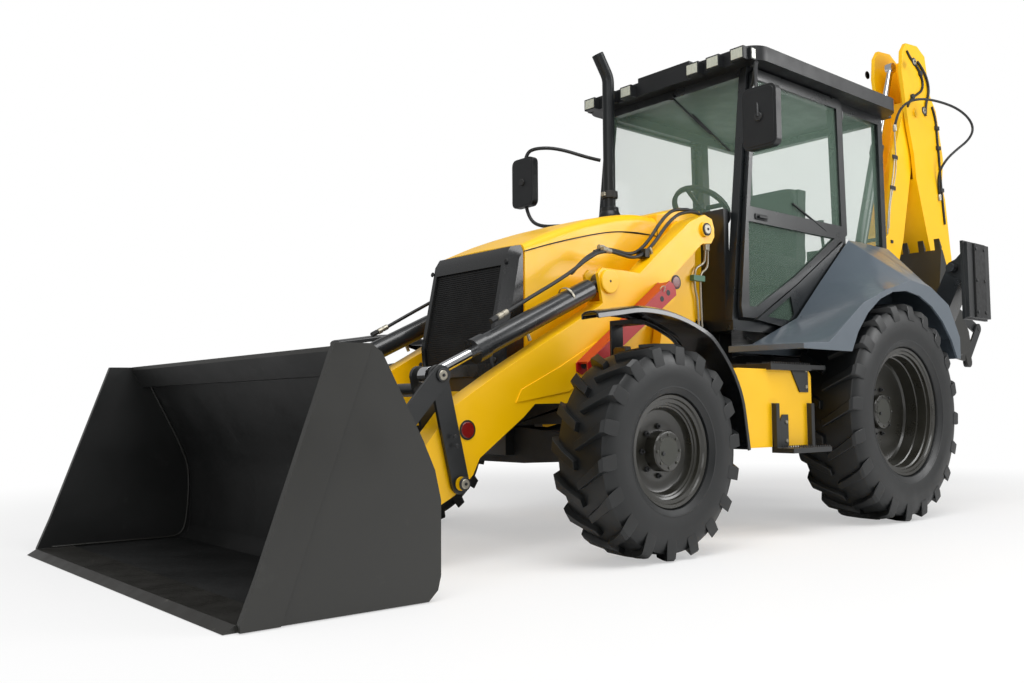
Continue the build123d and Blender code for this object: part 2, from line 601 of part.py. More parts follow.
# Tilt links from the levers' tops to the bucket, outside the outer levers
linkLane = (leverLanes[0][1] + sideGap, leverLanes[0][1] + sideGap + 16)
link = strap(leverTop, linkEye, 44, 44, *linkLane)
link -= pinAcross(leverTop, 24 + pinGap, linkLane[0] - 1, linkLane[1] + 1)
save("tilt_links", both(link))

tiltBarrel, tiltRod = cylinderPair(tiltBase, leverTop, 912, 272, 52, 24, armMidY, pinRadius + pinGap,
                                   neckLength=100)
save("tilt_barrels", both(tiltBarrel))
save("tilt_rods", both(tiltRod))
liftBarrel, liftRod = cylinderPair(liftBase, liftEye, 1150, 62, 54, 27, armMidY, 32 + pinGap)
save("lift_barrels", both(liftBarrel))
save("lift_rods", both(liftRod))

# ---- Loader bucket ------------------------------------------------------------------------
bucketHalf = bucketWidth / 2
shellLine = [(4090, 4), (3520, 4), (3480, 40), (3467, 90), (3467, 354), (3493, 461), (3545, 568), (3716, 872),
             (3760, 898)]
innerLine = [(3772, 884), (3730, 862), (3560, 560), (3508, 455), (3483, 350), (3483, 96), (3494, 50), (3526, 20),
             (4090, 20)]
bucket = plate(shellLine + innerLine, -bucketHalf + 26, bucketHalf - 26)
sidePlate = [(4090, 4), (3520, 4), (3480, 40), (3467, 90), (3467, 354), (3493, 461), (3545, 568), (3716, 872),
             (3760, 901), (3907, 898), (4169, 166), (4225, 27), (4225, 4)]
bucket += both(plate(sidePlate, bucketHalf - 26, bucketHalf - 10))
cutter = [(3760, 901), (3907, 898), (4169, 166), (4225, 27), (4225, 4), (4090, 4)]
bucket += both(plate(cutter, bucketHalf - 10, bucketHalf))
bucket += plate([(bucketLipX, 2), (bucketLipX - 40, 26), (4060, 26), (4060, 2)], -bucketHalf + 26, bucketHalf - 26)
bucket += plate([(3716, 800), (3745, 800), (3800, 884), (3800, 901), (3752, 901)], -bucketHalf + 26, bucketHalf - 26)
earOutline = [(3300, 170), (3480, 120), (3480, 354), (3505, 461), (3557, 568), (3470, 600), (3340, 580),
              (3310, 524), (3240, 300), (3232, 200)]
for lane in leverLanes:
    ear = plate(earOutline, *lane) - pinAcross(bucketPivot, pinRadius + pinGap, lane[0] - 1, lane[1] + 1)
    bucket += both(ear)
save("loader_bucket", bucket)

# ---- Rear frame ---------------------------------------------------------------------------
plateOutline = [(-660, 700), (-640, 560), (640, 560), (660, 700), (660, 880), (420, 1340), (-420, 1340),
                (-660, 880)]
rearFrame = None
for x in rearPlateX:
    sheetX = (x, x - 22) if x > -1000 else (x, x + 22)
    piece = slab(plateOutline, *sheetX)
    rearFrame = piece if rearFrame is None else rearFrame + piece
rearFrame += block((rearPlateX[0] - 22, rearPlateX[1] + 22), (-500, 500), (560, 585))
rearFrame += block((rearPlateX[0] - 22, rearPlateX[1] + 22), (-14, 14), (585, 1340))
rearFrame += both(pinAlong(stabilizerPivot, 32, rearPlateX[0] - 22, rearPlateX[1] + 22))
rearFrame += both(pinAlong(stabilizerBase, 24, rearPlateX[0] - 22, rearPlateX[1] + 22))
noseBlock = block((rearPlateX[1], swingX), (-80, 80), (640, 860))
noseBlock += Pos(swingX, 0, 750) * Cylinder(80, 220)
noseBlock += slab([(-260, 600), (260, 600), (260, 960), (-260, 960)], rearPlateX[1], rearPlateX[1] - 40)
rearFrame += noseBlock + Pos(swingX, 0, 750) * Cylinder(40, 360)
save("rear_frame", rearFrame)

# Swing post: ears above and below the frame's nose, and a fork for the boom's foot
post = None
for low, high in ((580, 630), (870, 920)):
    ear = Pos(swingX, 0, low) * extrude(Circle(84), amount=high - low)
    ear += block((swingX - 109, swingX), (-84, 84), (low, high))
    post = ear if post is None else post + ear
post += block((swingX - 109, swingX - 90), (-boomHalfWidth - 30, boomHalfWidth + 30), (580, 920))
post -= Pos(swingX, 0, 750) * Cylinder(40 + pinGap, 400)
forkOutline = [(swingX - 90, 580), (swingX - 90, 920), (swingX - 150, 920), (boomFoot[0] - 70, 740),
               (boomFoot[0] - 70, 590), (boomFoot[0] - 20, 570)]
for lane in ((boomHalfWidth + sideGap, boomHalfWidth + 30), (-boomHalfWidth - 30, -boomHalfWidth - sideGap)):
    post += plate(forkOutline, *lane)
post += pinAcross(boomFoot, 34, -boomHalfWidth - 36, boomHalfWidth + 36)
lugOutline = [(swingX - 80, 900), (swingX + 30, 900), (boomCylinderBase[0] + 44, 1030),
              (boomCylinderBase[0] + 20, 1076), (boomCylinderBase[0] - 20, 1076), (boomCylinderBase[0] - 48, 1030)]
post += both(plate(lugOutline, cylinderLane, cylinderLane + 18)) + pinAcross(boomCylinderBase, 26, -76, 76)
save("swing_post", post)

# ---- Boom and dipper ----------------------------------------------------------------------
boomOutline = [(-1695, 640), (-1650, 606), (-1600, 630), (-1588, 680), (-1588, 1000), (-1560, 1300), (-1490, 1640),
               (-1380, 1825), (-1362, 1880), (-1380, 1926), (-1430, 1942), (-1550, 1930), (-1700, 2060),
               (-1840, 2750), (-1960, 3010), (-2030, 3160), (-2110, 3225), (-2200, 3210), (-2240, 3110),
               (-2200, 2930), (-2130, 2730), (-1935, 2030), (-1745, 1600), (-1700, 1250), (-1722, 900)]
boom = plate(boomOutline, -boomHalfWidth, boomHalfWidth)
boom -= pinAcross(boomFoot, 34 + pinGap, -boomHalfWidth - 1, boomHalfWidth + 1)
laneSlot = [(-1250, 900), (-1550, 900), (-1572, 1014), (-1660, 1400), (-1752, 1764), (-1752, 1800), (-1730, 1850),
            (-1650, 1960), (-1700, 2100), (-1900, 2480), (-2040, 2800), (-2100, 3020), (-2100, 3300), (-1250, 3300)]
boom -= plate(laneSlot, -cylinderLane, cylinderLane)
boom += pinAcross(boomTip, 36, -dipperHalfWidth - 8, dipperHalfWidth + 8)
boom += pinAcross(crowdBase, 26, -boomHalfWidth - 8, boomHalfWidth + 8)
save("boom", boom)

dipperBox = [(-2110, 2560), (-2290, 2030), (-2560, 1420), (-2640, 1190), (-2720, 1160), (-2800, 1210),
             (-2790, 1330), (-2660, 2110), (-2610, 2450), (-2560, 2560)]
dipper = plate(dipperBox, -dipperHalfWidth, dipperHalfWidth)
cheek = [(-2110, 2560), (-2085, 2760), (-2010, 3000), (-1950, 3300), (-1925, 3420), (-1945, 3600), (-2010, 3680),
         (-2200, 3700), (-2330, 3640), (-2400, 3320), (-2500, 3200), (-2600, 2800), (-2560, 2560)]
for lane in ((boomHalfWidth + sideGap + 4, dipperHalfWidth), (-dipperHalfWidth, -boomHalfWidth - sideGap - 4)):
    dipper += plate(cheek, *lane)
dipper += plate([(-2300, 2560), (-2560, 2560), (-2590, 2800), (-2490, 3200), (-2400, 3320), (-2330, 3640),
                 (-2300, 3640), (-2370, 3300), (-2420, 3180)], -dipperHalfWidth, dipperHalfWidth)
dipper -= pinAcross(boomTip, 36 + pinGap, -dipperHalfWidth - 1, dipperHalfWidth + 1)
curlSlot = [(-2470, 2860), (-2470, 2620), (-2520, 2560), (-2566, 2380), (-2638, 2110), (-2690, 1920), (-2900, 1920),
            (-2900, 2860)]
dipper -= plate(curlSlot, -cylinderLane, cylinderLane)
dipper += pinAcross(curlBase, 24, -dipperHalfWidth, dipperHalfWidth)
dipper += pinAcross(tipLeverPivot, 30, -dipperHalfWidth - 26, dipperHalfWidth + 26)
dipper += pinAcross(hoePivot, 58, -bucketEarLane[0] + sideGap, bucketEarLane[0] - sideGap)
dipper += pinAcross(hoePivot, 30, -bucketEarLane[1] - 6, bucketEarLane[1] + 6)
save("dipper", dipper)

# Backhoe cylinders: name, base, eye, barrel length, rod tail's place, barrel, rod and bore radius
hoeCylinders = [("boom", boomCylinderBase, boomCylinderEye, 715, 62, 48, 28, 26),
                ("crowd", crowdBase, crowdEye, 970, 915, 46, 26, 26),
                ("curl", curlBase, curlEye, 850, 780, 42, 24, 24)]
for name, base, eye, length, tailAt, radius, rodRadius, boreRadius in hoeCylinders:
    shell, inner = cylinderPair(base, eye, length, tailAt, radius, rodRadius, 0, boreRadius + pinGap,
                                cylinderLane - sideGap)
    save(f"{name}_barrel", shell)
    save(f"{name}_rod", inner)

# Bucket linkage
tipLane = dipperHalfWidth + sideGap
tipLevers = None
for lane in ((tipLane, tipLane + 20), (-tipLane - 20, -tipLane)):
    blade = strap(tipLeverPivot, curlEye, 44, 44, *lane)
    blade -= pinAcross(tipLeverPivot, 30 + pinGap, lane[0] - 1, lane[1] + 1)
    tipLevers = blade if tipLevers is None else tipLevers + blade
for side in (1, -1):
    tipLevers += pinAcross(curlEye, 24, side * (tipLane + 20), side * (tipLane + 46))
save("tipping_levers", tipLevers)
hoeLinks = None
for side in (1, -1):
    lane = (side * (tipLane + 26), side * (tipLane + 42))
    blade = strap(curlEye, hoeLinkEye, 42, 42, *lane)
    blade -= pinAcross(curlEye, 24 + pinGap, side * (tipLane + 25), side * (tipLane + 47))
    hoeLinks = blade if hoeLinks is None else hoeLinks + blade
save("tipping_links", hoeLinks)


def hoePlace(along, across):
    """A place on the curled bucket: along towards the teeth's tips, across to its back."""
    tipAt = (-2130, 2060)
    run = hypot(tipAt[0] - hoePivot[0], tipAt[1] - hoePivot[1])
    u = ((tipAt[0] - hoePivot[0]) / run, (tipAt[1] - hoePivot[1]) / run)
    return (hoePivot[0] + along * u[0] + across * u[1], hoePivot[1] + along * u[1] - across * u[0])


outerShell = [(900, 40), (700, 250), (500, 390), (300, 430), (130, 390), (30, 290), (0, 170), (20, 110)]
innerShell = [(40, 120), (22, 172), (46, 280), (140, 372), (300, 410), (490, 371), (686, 236), (886, 28)]
hoe = plate([hoePlace(*p) for p in outerShell + innerShell], -hoeHalfWidth, hoeHalfWidth)
cheekPlate = [(886, 28), (900, 40), (700, 250), (500, 390), (300, 430), (130, 390), (30, 290), (0, 170), (20, 110),
              (120, 70), (500, 90)]
for side in (1, -1):
    hoe += plate([hoePlace(*p) for p in cheekPlate], side * (hoeHalfWidth - 14), side * hoeHalfWidth)
for i in range(5):
    y = -hoeHalfWidth + 30 + i * (2 * hoeHalfWidth - 60) / 4
    tooth = [(790, 155), (890, 50), (984, 6), (905, 12), (870, 45), (780, 140)]
    hoe += plate([hoePlace(*p) for p in tooth], y - 24, y + 24)
earShape = [(-60, 20), (-30, -50), (40, -60), (110, 40), (60, 200), (-40, 230), (-140, 120)]
ear = strap(hoePivot, hoeLinkEye, 52, 44, *bucketEarLane) + plate([hoePlace(*p) for p in earShape], *bucketEarLane)
ear += plate([hoePlace(*p) for p in [(0, 60), (40, 290), (150, 300), (200, 100), (60, -20)]], *bucketEarLane)
hoe += both(ear)
hoe -= both(pinAcross(hoePivot, 30 + pinGap, bucketEarLane[0] - 1, bucketEarLane[1] + 1))
save("backhoe_bucket", hoe)


# ---- Stabilizers --------------------------------------------------------------------------
def strapAlong(first, second, firstHalf, secondHalf, xFrom, xTo):
    """A flat link with round ends, lying in a front-view plane."""
    body = slab(strapOutline(first, second, firstHalf, secondHalf), xFrom, xTo)
    return body + pinAlong(first, firstHalf, xFrom, xTo) + pinAlong(second, secondHalf, xFrom, xTo)


def stabilizer():
    """Left arm: a channel of two cheeks and an outer wall, with an ear for the cylinder's eye."""
    front, rear = stabilizerLaneX
    body = strapAlong(stabilizerPivot, stabilizerFoot, 70, 60, front, rear)
    body += slab([(546, 830), (stabilizerEye[0] - 50, stabilizerEye[1] - 14), (stabilizerEye[0] - 34, stabilizerEye[1] + 38),
                  (stabilizerEye[0] + 8, stabilizerEye[1] + 52), (790, 1290), (690, 960)], front, rear)
    high = onTheWay(stabilizerPivot, stabilizerFoot, 660)
    low = onTheWay(stabilizerPivot, stabilizerFoot, -120)
    inner = ((stabilizerPivot[1] - stabilizerFoot[1]) / 886, (stabilizerFoot[0] - stabilizerPivot[0]) / 886)
    lane = [(p[0] + inner[0] * d, p[1] + inner[1] * d) for p, d in ((low, 300), (high, 300), (high, -20), (low, -20))]
    body -= slab(lane, front - 28, rear + 28)
    body += pinAlong(stabilizerPivot, 56, front, rear)
    body -= pinAlong(stabilizerPivot, 32 + pinGap, front + 1, rear - 1)
    body += pinAlong(stabilizerFoot, 28, front + 90, rear - 50)
    return body


def stabilizerPad():
    """Left pad, folded upright: two lugs on the arm's foot pin and a ribbed plate."""
    front, rear = stabilizerLaneX
    body = block((front + 90, rear - 80), (1052, 1072), (1250, 1770))
    body += block((front + 84, rear - 74), (1072, 1098), (1262, 1758))
    for lane in ((front + sideGap, front + 28), (rear - 28, rear - sideGap)):
        body += slab([(940, 1560), (940, 1640), (990, 1660), (1052, 1720), (1052, 1480), (990, 1540)], *lane)
    for lane in ((front + sideGap - 1, front + 29), (rear - 29, rear - sideGap + 1)):
        body -= pinAlong(stabilizerFoot, 28 + pinGap, *lane)
    return body


def stabilizerCylinder():
    """Barrel and rod of the left stabilizer, drawn in the front-view plane."""
    midLane = sum(stabilizerLaneX) / 2
    shell, inner = cylinderPair(stabilizerBase, stabilizerEye, 498, 62, 40, 22, 0, 24 + pinGap)
    turn = Pos(midLane, 0, 0) * Rot(0, 0, 90)
    return turn * shell, turn * inner


save("stabilizer_arm_left", stabilizer())
save("stabilizer_arm_right", mirror(stabilizer(), about=Plane.XZ))
save("stabilizer_pad_left", stabilizerPad())
save("stabilizer_pad_right", mirror(stabilizerPad(), about=Plane.XZ))
shell, inner = stabilizerCylinder()
save("stabilizer_barrel_left", shell)
save("stabilizer_rod_left", inner)
save("stabilizer_barrel_right", mirror(shell, about=Plane.XZ))
save("stabilizer_rod_right", mirror(inner, about=Plane.XZ))
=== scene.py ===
import json
import math

import bmesh
import bpy
from mathutils import Matrix, Vector

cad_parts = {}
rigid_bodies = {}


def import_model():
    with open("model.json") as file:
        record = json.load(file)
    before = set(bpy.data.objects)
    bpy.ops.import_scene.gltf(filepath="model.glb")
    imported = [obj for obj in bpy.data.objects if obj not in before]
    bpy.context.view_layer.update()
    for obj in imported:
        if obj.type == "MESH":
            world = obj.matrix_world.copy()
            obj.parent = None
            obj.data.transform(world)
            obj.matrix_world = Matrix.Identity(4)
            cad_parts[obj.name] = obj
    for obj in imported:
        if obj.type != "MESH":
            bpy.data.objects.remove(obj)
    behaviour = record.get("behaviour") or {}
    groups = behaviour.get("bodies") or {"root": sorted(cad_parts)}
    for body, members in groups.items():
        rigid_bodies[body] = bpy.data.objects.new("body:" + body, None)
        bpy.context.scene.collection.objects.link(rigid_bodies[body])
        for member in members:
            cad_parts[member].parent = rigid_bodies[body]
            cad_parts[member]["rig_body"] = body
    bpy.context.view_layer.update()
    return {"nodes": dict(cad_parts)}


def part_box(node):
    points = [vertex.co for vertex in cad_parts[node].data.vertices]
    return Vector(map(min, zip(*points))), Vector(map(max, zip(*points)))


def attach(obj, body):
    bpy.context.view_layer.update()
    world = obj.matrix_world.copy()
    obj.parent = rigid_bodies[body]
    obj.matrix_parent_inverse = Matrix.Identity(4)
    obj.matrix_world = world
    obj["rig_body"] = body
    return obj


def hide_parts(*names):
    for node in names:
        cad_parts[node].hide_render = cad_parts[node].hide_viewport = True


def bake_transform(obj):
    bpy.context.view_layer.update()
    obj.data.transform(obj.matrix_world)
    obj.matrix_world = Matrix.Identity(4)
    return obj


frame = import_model()
nodes = frame["nodes"]
rearAxleX = -585.5  # the rear axle's place, in millimetres; lengths along the machine are counted from it
sides = (("left", 1), ("right", -1))
print("frame loaded:", len(nodes), "nodes")


def spot(x, y, z):
    return Vector(((x + rearAxleX) / 1000, y / 1000, z / 1000))


# sRGB hex to the linear values that shaders take
def hexColour(code):
    channels = [int(code[i:i + 2], 16) / 255 for i in (1, 3, 5)]
    linear = [c / 12.92 if c <= 0.04045 else ((c + 0.055) / 1.055) ** 2.4 for c in channels]
    return (*linear, 1.0)


def addNode(tree, kind, values=None, settings=None, links=None):
    node = tree.nodes.new(kind)
    for key, value in (settings or {}).items():
        setattr(node, key, value)
    for key, value in (values or {}).items():
        node.inputs[key].default_value = value
    for key, source in (links or {}).items():
        tree.links.new(source, node.inputs[key])
    return node


def addObject(name, data):
    made = bpy.data.objects.new(name, data)
    bpy.context.scene.collection.objects.link(made)
    return made


# The mesh that a curve or a modified object comes to; the object itself is then dropped
def takeMesh(holder):
    bpy.context.view_layer.update()
    mesh = bpy.data.meshes.new_from_object(holder.evaluated_get(bpy.context.evaluated_depsgraph_get()))
    bpy.data.objects.remove(holder)
    return mesh


def newMaterial(name):
    material = bpy.data.materials.new(name)
    material.use_nodes = True
    return material, material.node_tree, material.node_tree.nodes["Principled BSDF"]


# Painted, cast or moulded surface, whose colour varies a little by spread. Bump is a strength and a scale,
# depth is in millimetres, coat is a weight and a roughness, and worn is a colour, amount and scale of patches
def finish(name, colour, roughness, spread, bump, depth=0.4, metallic=0.0, mottle=90, coat=(0.0, 0.08),
           worn=None):
    material, tree, shader = newMaterial(name)
    for key, value in (("Metallic", metallic), ("IOR", 1.5), ("Coat Weight", coat[0]),
                       ("Coat Roughness", coat[1])):
        shader.inputs[key].default_value = value
    where = addNode(tree, "ShaderNodeTexCoord").outputs["Object"]
    cloud = addNode(tree, "ShaderNodeTexNoise", {"Scale": mottle / 10, "Detail": 4.0},
                    links={"Vector": where})
    base = hexColour(colour)
    dark = tuple(c * (1 - spread) for c in base[:3]) + (1.0,)
    light = tuple(min(1, c * (1 + spread)) for c in base[:3]) + (1.0,)
    tone = addNode(tree, "ShaderNodeMix", {"A": dark, "B": light}, {"data_type": "RGBA"},
                   {"Factor": cloud.outputs["Fac"]})
    out = tone.outputs[2]
    smoothest, roughest = roughness * 0.85, min(1.0, roughness * 1.2)
    rough = addNode(tree, "ShaderNodeMapRange",
                    {"From Min": 0.3, "From Max": 0.7, "To Min": smoothest, "To Max": roughest},
                    links={"Value": cloud.outputs["Fac"]}).outputs["Result"]
    if worn:
        wornColour, amount, scale = worn
        patch = addNode(tree, "ShaderNodeTexNoise", {"Scale": scale, "Detail": 8.0, "Roughness": 0.7},
                        links={"Vector": where})
        mask = addNode(tree, "ShaderNodeMapRange", {"From Min": 0.60 - amount, "From Max": 0.68 - amount},
                       links={"Value": patch.outputs["Fac"]}).outputs["Result"]
        out = addNode(tree, "ShaderNodeMix", {"B": hexColour(wornColour)}, {"data_type": "RGBA"},
                      {"Factor": mask, "A": out}).outputs[2]
    tree.links.new(out, shader.inputs["Base Color"])
    tree.links.new(rough, shader.inputs["Roughness"])
    if bump:
        strength, scale = bump
        grain = addNode(tree, "ShaderNodeTexNoise", {"Scale": scale, "Detail": 3.0}, links={"Vector": where})
        relief = addNode(tree, "ShaderNodeBump", {"Strength": strength, "Distance": depth / 1000},
                         links={"Height": grain.outputs["Fac"]})
        tree.links.new(relief.outputs["Normal"], shader.inputs["Normal"])
    return material


# Tinted safety glass: thin, so it is a see-through layer with gloss and no refraction
def clearSheet(name, colour, alpha):
    material, tree, shader = newMaterial(name)
    where = addNode(tree, "ShaderNodeTexCoord").outputs["Object"]
    film = addNode(tree, "ShaderNodeTexNoise", {"Scale": 3.0, "Detail": 2.0}, links={"Vector": where})
    shade = addNode(tree, "ShaderNodeMapRange", {"To Min": 0.03, "To Max": 0.06},
                    links={"Value": film.outputs["Fac"]})
    shader.inputs["Base Color"].default_value = hexColour(colour)
    shader.inputs["Alpha"].default_value = alpha
    shader.inputs["IOR"].default_value = 1.52
    tree.links.new(shade.outputs["Result"], shader.inputs["Roughness"])
    return material


# Each finish has a name, colour, roughness, spread, bump and what is special to it
# Stoved two-part enamel over steel: deep colour, hard gloss with a faint orange peel
yellowEnamel = finish("yellowStovedEnamel", "#fdc300", 0.36, 0.03, (0.05, 260), coat=(0.12, 0.05))
# Charcoal chassis paint on plate: satin, with slight patches where it has dulled
charcoalPaint = finish("charcoalChassisPaint", "#1c1e1f", 0.38, 0.1, (0.08, 300), coat=(0.2, 0.2))
# Bucket paint: thin dark grey that scuffs to a paler grey on the working faces
bucketPaint = finish("bucketToolPaint", "#232320", 0.4, 0.14, (0.1, 220), mottle=40, coat=(0.15, 0.25),
                     worn=("#2b2b28", 0.0, 6))
# Cutting edge: hardened steel, its paint rubbed through
edgeSteel = finish("cuttingEdgeSteel", "#262522", 0.4, 0.15, (0.2, 120), metallic=0.2,
                   worn=("#56544d", -0.03, 22))
# Natural rubber of the tyres: matt, close to black, faintly dusty
tyreRubber = finish("tyreRubber", "#0b0e0f", 0.46, 0.12, (0.25, 240), depth=0.6, mottle=60)
hoseRubber = finish("braidedHoseRubber", "#141516", 0.45, 0.1, (0.3, 700))
# Wheel enamel: warm bronze grey
rimEnamel = finish("wheelEnamel", "#26251f", 0.3, 0.1, (0.08, 260), coat=(0.3, 0.15))
hubCasting = finish("hubCasting", "#3c3d37", 0.4, 0.12, (0.3, 180), metallic=0.2)
# Moulded ABS with a fine grain, for the roof and the trims
blackMoulding = finish("grainedBlackAbs", "#121416", 0.42, 0.08, (0.2, 1200), depth=0.3)
interiorTrim = finish("softInteriorTrim", "#17191a", 0.6, 0.08, (0.04, 120), mottle=40)
cabPaint = finish("cabPostPaint", "#16191b", 0.3, 0.06, (0.05, 260), coat=(0.35, 0.1))
# Fender moulding: glossy graphite, its base colour made paler than the graphite as a painted sheen for the
# reflection along its crown
fenderPaintedSheen = finish("graphiteFenderPaintedSheen", "#566069", 0.36, 0.05, (0.05, 400), coat=(0.4, 0.1))
hardChrome = finish("hardChrome", "#d5d6d8", 0.1, 0.02, (0.02, 900), metallic=1.0)
blackBarrel = finish("barrelBlackPaint", "#222426", 0.28, 0.08, (0.05, 260), coat=(0.4, 0.1))
castIron = finish("blackCastIron", "#222324", 0.55, 0.15, (0.5, 160), depth=1.0)
engineGrey = finish("engineCasting", "#35383a", 0.5, 0.12, (0.4, 160), metallic=0.3)
lockRed = finish("lockRedPaint", "#a80f14", 0.32, 0.05, (0.05, 900), coat=(0.4, 0.08))
reflectorRed = finish("reflectorRed", "#7a0f0c", 0.18, 0.25, (0.6, 500), mottle=1500, coat=(0.8, 0.08))
heatedSteel = finish("sootedExhaustSteel", "#181b1d", 0.36, 0.15, (0.1, 240), metallic=0.3)
lampGlass = finish("lampLensGlass", "#b9bcae", 0.12, 0.2, (0.5, 260), mottle=700, coat=(1.0, 0.08))
mirrorGlass = finish("mirrorSilvering", "#c8ccd0", 0.03, 0.01, None, metallic=1.0)
seatCloth = finish("wovenSeatCloth", "#1d1f22", 0.75, 0.1, (0.15, 900), depth=0.2, mottle=120)
zincSteel = finish("zincPlatedSteel", "#a7a294", 0.35, 0.12, (0.1, 900), metallic=0.7)
matBlack = finish("matGrilleBlack", "#0d0e0f", 0.6, 0.1, (0.1, 900))
noseBlack = finish("glossNoseMoulding", "#111315", 0.26, 0.06, (0.04, 300), coat=(0.4, 0.1))
# Inside of the loader bucket: the bucket paint made darker as painted shade for its hollow, with paler worn
# patches
bucketInsideShadeAndWear = finish("bucketPaintInsideShadeAndWear", "#131414", 0.5, 0.2, (0.15, 200), mottle=30,
                      worn=("#232423", 0.0, 5))
glossFender = finish("glossFenderMoulding", "#0f1113", 0.22, 0.06, (0.05, 300), coat=(0.5, 0.08))
padRubber = finish("laminatedPadRubber", "#101112", 0.6, 0.15, (0.3, 200), mottle=300)
stepBlack = finish("stepBlackPaint", "#191b1c", 0.42, 0.1, (0.1, 300), coat=(0.15, 0.08))
clampGreen = finish("greenClampMoulding", "#4e7a63", 0.45, 0.08, (0.1, 900))
tintedGlass = clearSheet("greenTintedGlass", "#9dbda8", 0.13)

print("materials made")


# Rounds the edges sharper than 35 degrees, by a width in millimetres
def soften(made, width):
    bevel = made.modifiers.new("edges", "BEVEL")
    bevel.width = width / 1000
    bevel.segments = 2
    bevel.limit_method = "ANGLE"
    bevel.angle_limit = math.radians(35)
    bevel.use_clamp_overlap = True
    normals = made.modifiers.new("normals", "WEIGHTED_NORMAL")
    normals.keep_sharp = True


def smoothShade(mesh, angle=40):
    for face in mesh.polygons:
        face.use_smooth = True
    mesh.set_sharp_from_angle(angle=math.radians(angle))


# A copy of a plain solid with its facets joined and its edges rounded, standing for that solid.
# Zones are pairs of a material and a test of a face's middle, in millimetres, and its normal.
def dressNode(node, material, width, zones=()):
    bm = bmesh.new()
    bm.from_mesh(nodes[node].data)
    bmesh.ops.remove_doubles(bm, verts=bm.verts, dist=0.00002)
    bmesh.ops.dissolve_limit(bm, angle_limit=math.radians(1.0), verts=bm.verts, edges=bm.edges)
    mesh = bpy.data.meshes.new(node + "Dressed")
    bm.to_mesh(mesh)
    bm.free()
    mesh.materials.clear()
    for finishMaterial in [material] + [zone[0] for zone in zones]:
        mesh.materials.append(finishMaterial)
    for face in mesh.polygons:
        middle = face.center * 1000 - Vector((rearAxleX, 0, 0))
        face.material_index = 0
        for index, (_, holds) in enumerate(zones, 1):
            if holds(middle, face.normal):
                face.material_index = index
    smoothShade(mesh)
    made = addObject(node + "Dressed", mesh)
    if width:
        soften(made, width)
    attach(made, nodes[node]["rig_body"])
    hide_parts(node)


# The plain solids that keep their shape: by finish, then by how far their edges are rounded, in millimetres
dressed = {
    yellowEnamel: {4: "loader_arms loader_towers boom dipper side_tanks", 6: "nose_and_panels cowl"},
    charcoalPaint: {3: "tilt_levers tilt_links tipping_levers tipping_links main_frame",
                    4: "swing_post rear_frame stabilizer_pad_left stabilizer_pad_right"},
    blackBarrel: {2: "lift_barrels tilt_barrels boom_barrel crowd_barrel curl_barrel stabilizer_barrel_left "
                     "stabilizer_barrel_right", 4: "stabilizer_arm_left stabilizer_arm_right"},
    hardChrome: {2: "lift_rods tilt_rods boom_rod crowd_rod curl_rod "
                    "stabilizer_rod_left stabilizer_rod_right"},
    bucketPaint: {3: "loader_bucket backhoe_bucket"}, engineGrey: {6: "driveline"},
    heatedSteel: {2: "exhaust_stack"},
    castIron: {4: "rear_axle knuckle_left knuckle_right", 5: "front_axle_beam"},
    tintedGlass: {0: "cab_glass"},
    cabPaint: {4: "cab_frame", 3: "door_left door_right"}, blackMoulding: {6: "cab_roof"},
    interiorTrim: {8: "cab_interior"}, fenderPaintedSheen: {8: "rear_fenders"},
}
bucketMiddle = Vector((3900, 0, 480))
paneY = (584, 590)  # the door panes' inner and outer faces


def insideBucket(c, n):
    if abs(n.y) > 0.5:
        return abs(abs(c.y) - 1094) < 2 and c.y * n.y < 0
    return n.dot(bucketMiddle - c) > 0 and abs(c.y) < 1000 and c.z < 880


def onPane(c, n):
    return abs(n.y) > 0.9 and min(abs(abs(c.y) - y) for y in paneY) < 1.5


zonesOf = {
    "loader_bucket": [(bucketInsideShadeAndWear, insideBucket),
                      (edgeSteel, lambda c, n: c.x > 4100 and c.z < 30 and abs(c.y) < 1090)],
    "nose_and_panels": [(noseBlack, lambda c, n: c.x > 2400.5),
                        (matBlack, lambda c, n: 2400.5 < c.x < 2480 and abs(c.y) < 275 and 895 < c.z < 1395)],
    "door_left": [(tintedGlass, onPane)], "door_right": [(tintedGlass, onPane)],
    "side_tanks": [(stepBlack, lambda c, n: c.z > 882 or abs(c.y) > 932 or c.x < 800)],
    "cab_interior": [(seatCloth, lambda c, n: c.x < 215 and c.z > 1480 and abs(c.y) < 241)],
    "backhoe_bucket": [(edgeSteel, lambda c, n: c.z > 2040)],
}
for material, names in dressed.items():
    for width, line in names.items():
        for node in line.split():
            dressNode(node, material, width, zonesOf.get(node, ()))
print("plain solids dressed")


# Shapes, in millimetres from the rear axle: each is a list of corners and a list of faces
def prismAcross(outline, yFrom, yTo):
    corners = [(x, y, z) for y in (yFrom, yTo) for x, z in outline]
    count = len(outline)
    faces = [tuple(range(count)), tuple(reversed(range(count, 2 * count)))]
    faces += [(i, (i + 1) % count, count + (i + 1) % count, count + i) for i in range(count)]
    return corners, faces


def prismAlong(outline, xFrom, xTo):
    corners, faces = prismAcross(outline, xFrom, xTo)
    return [(y, x, z) for x, y, z in corners], faces


def boxBetween(x, y, z):
    return prismAcross([(x[0], z[0]), (x[1], z[0]), (x[1], z[1]), (x[0], z[1])], *y)


# A profile of (radius, place along the axis), turned about an axis through the centre
def lathe(profile, centre=(0, 0, 0), axis=(0, 1, 0), steps=64, capped=True):
    axis = Vector(axis).normalized()
    sideways = axis.orthogonal().normalized()
    other = axis.cross(sideways)
    corners = []
    for radius, along in profile:
        for i in range(steps):
            angle = 2 * math.pi * i / steps
            out = sideways * math.cos(angle) + other * math.sin(angle)
            corners.append(tuple(Vector(centre) + out * max(radius, 0.01) + axis * along))
    faces = []
    for ring in range(len(profile) - 1):
        for i in range(steps):
            near, far = ring * steps, (ring + 1) * steps
            following = (i + 1) % steps
            faces.append((near + i, near + following, far + following, far + i))
    if capped:
        faces.append(tuple(reversed(range(steps))))
        faces.append(tuple(range((len(profile) - 1) * steps, len(profile) * steps)))
    return corners, faces


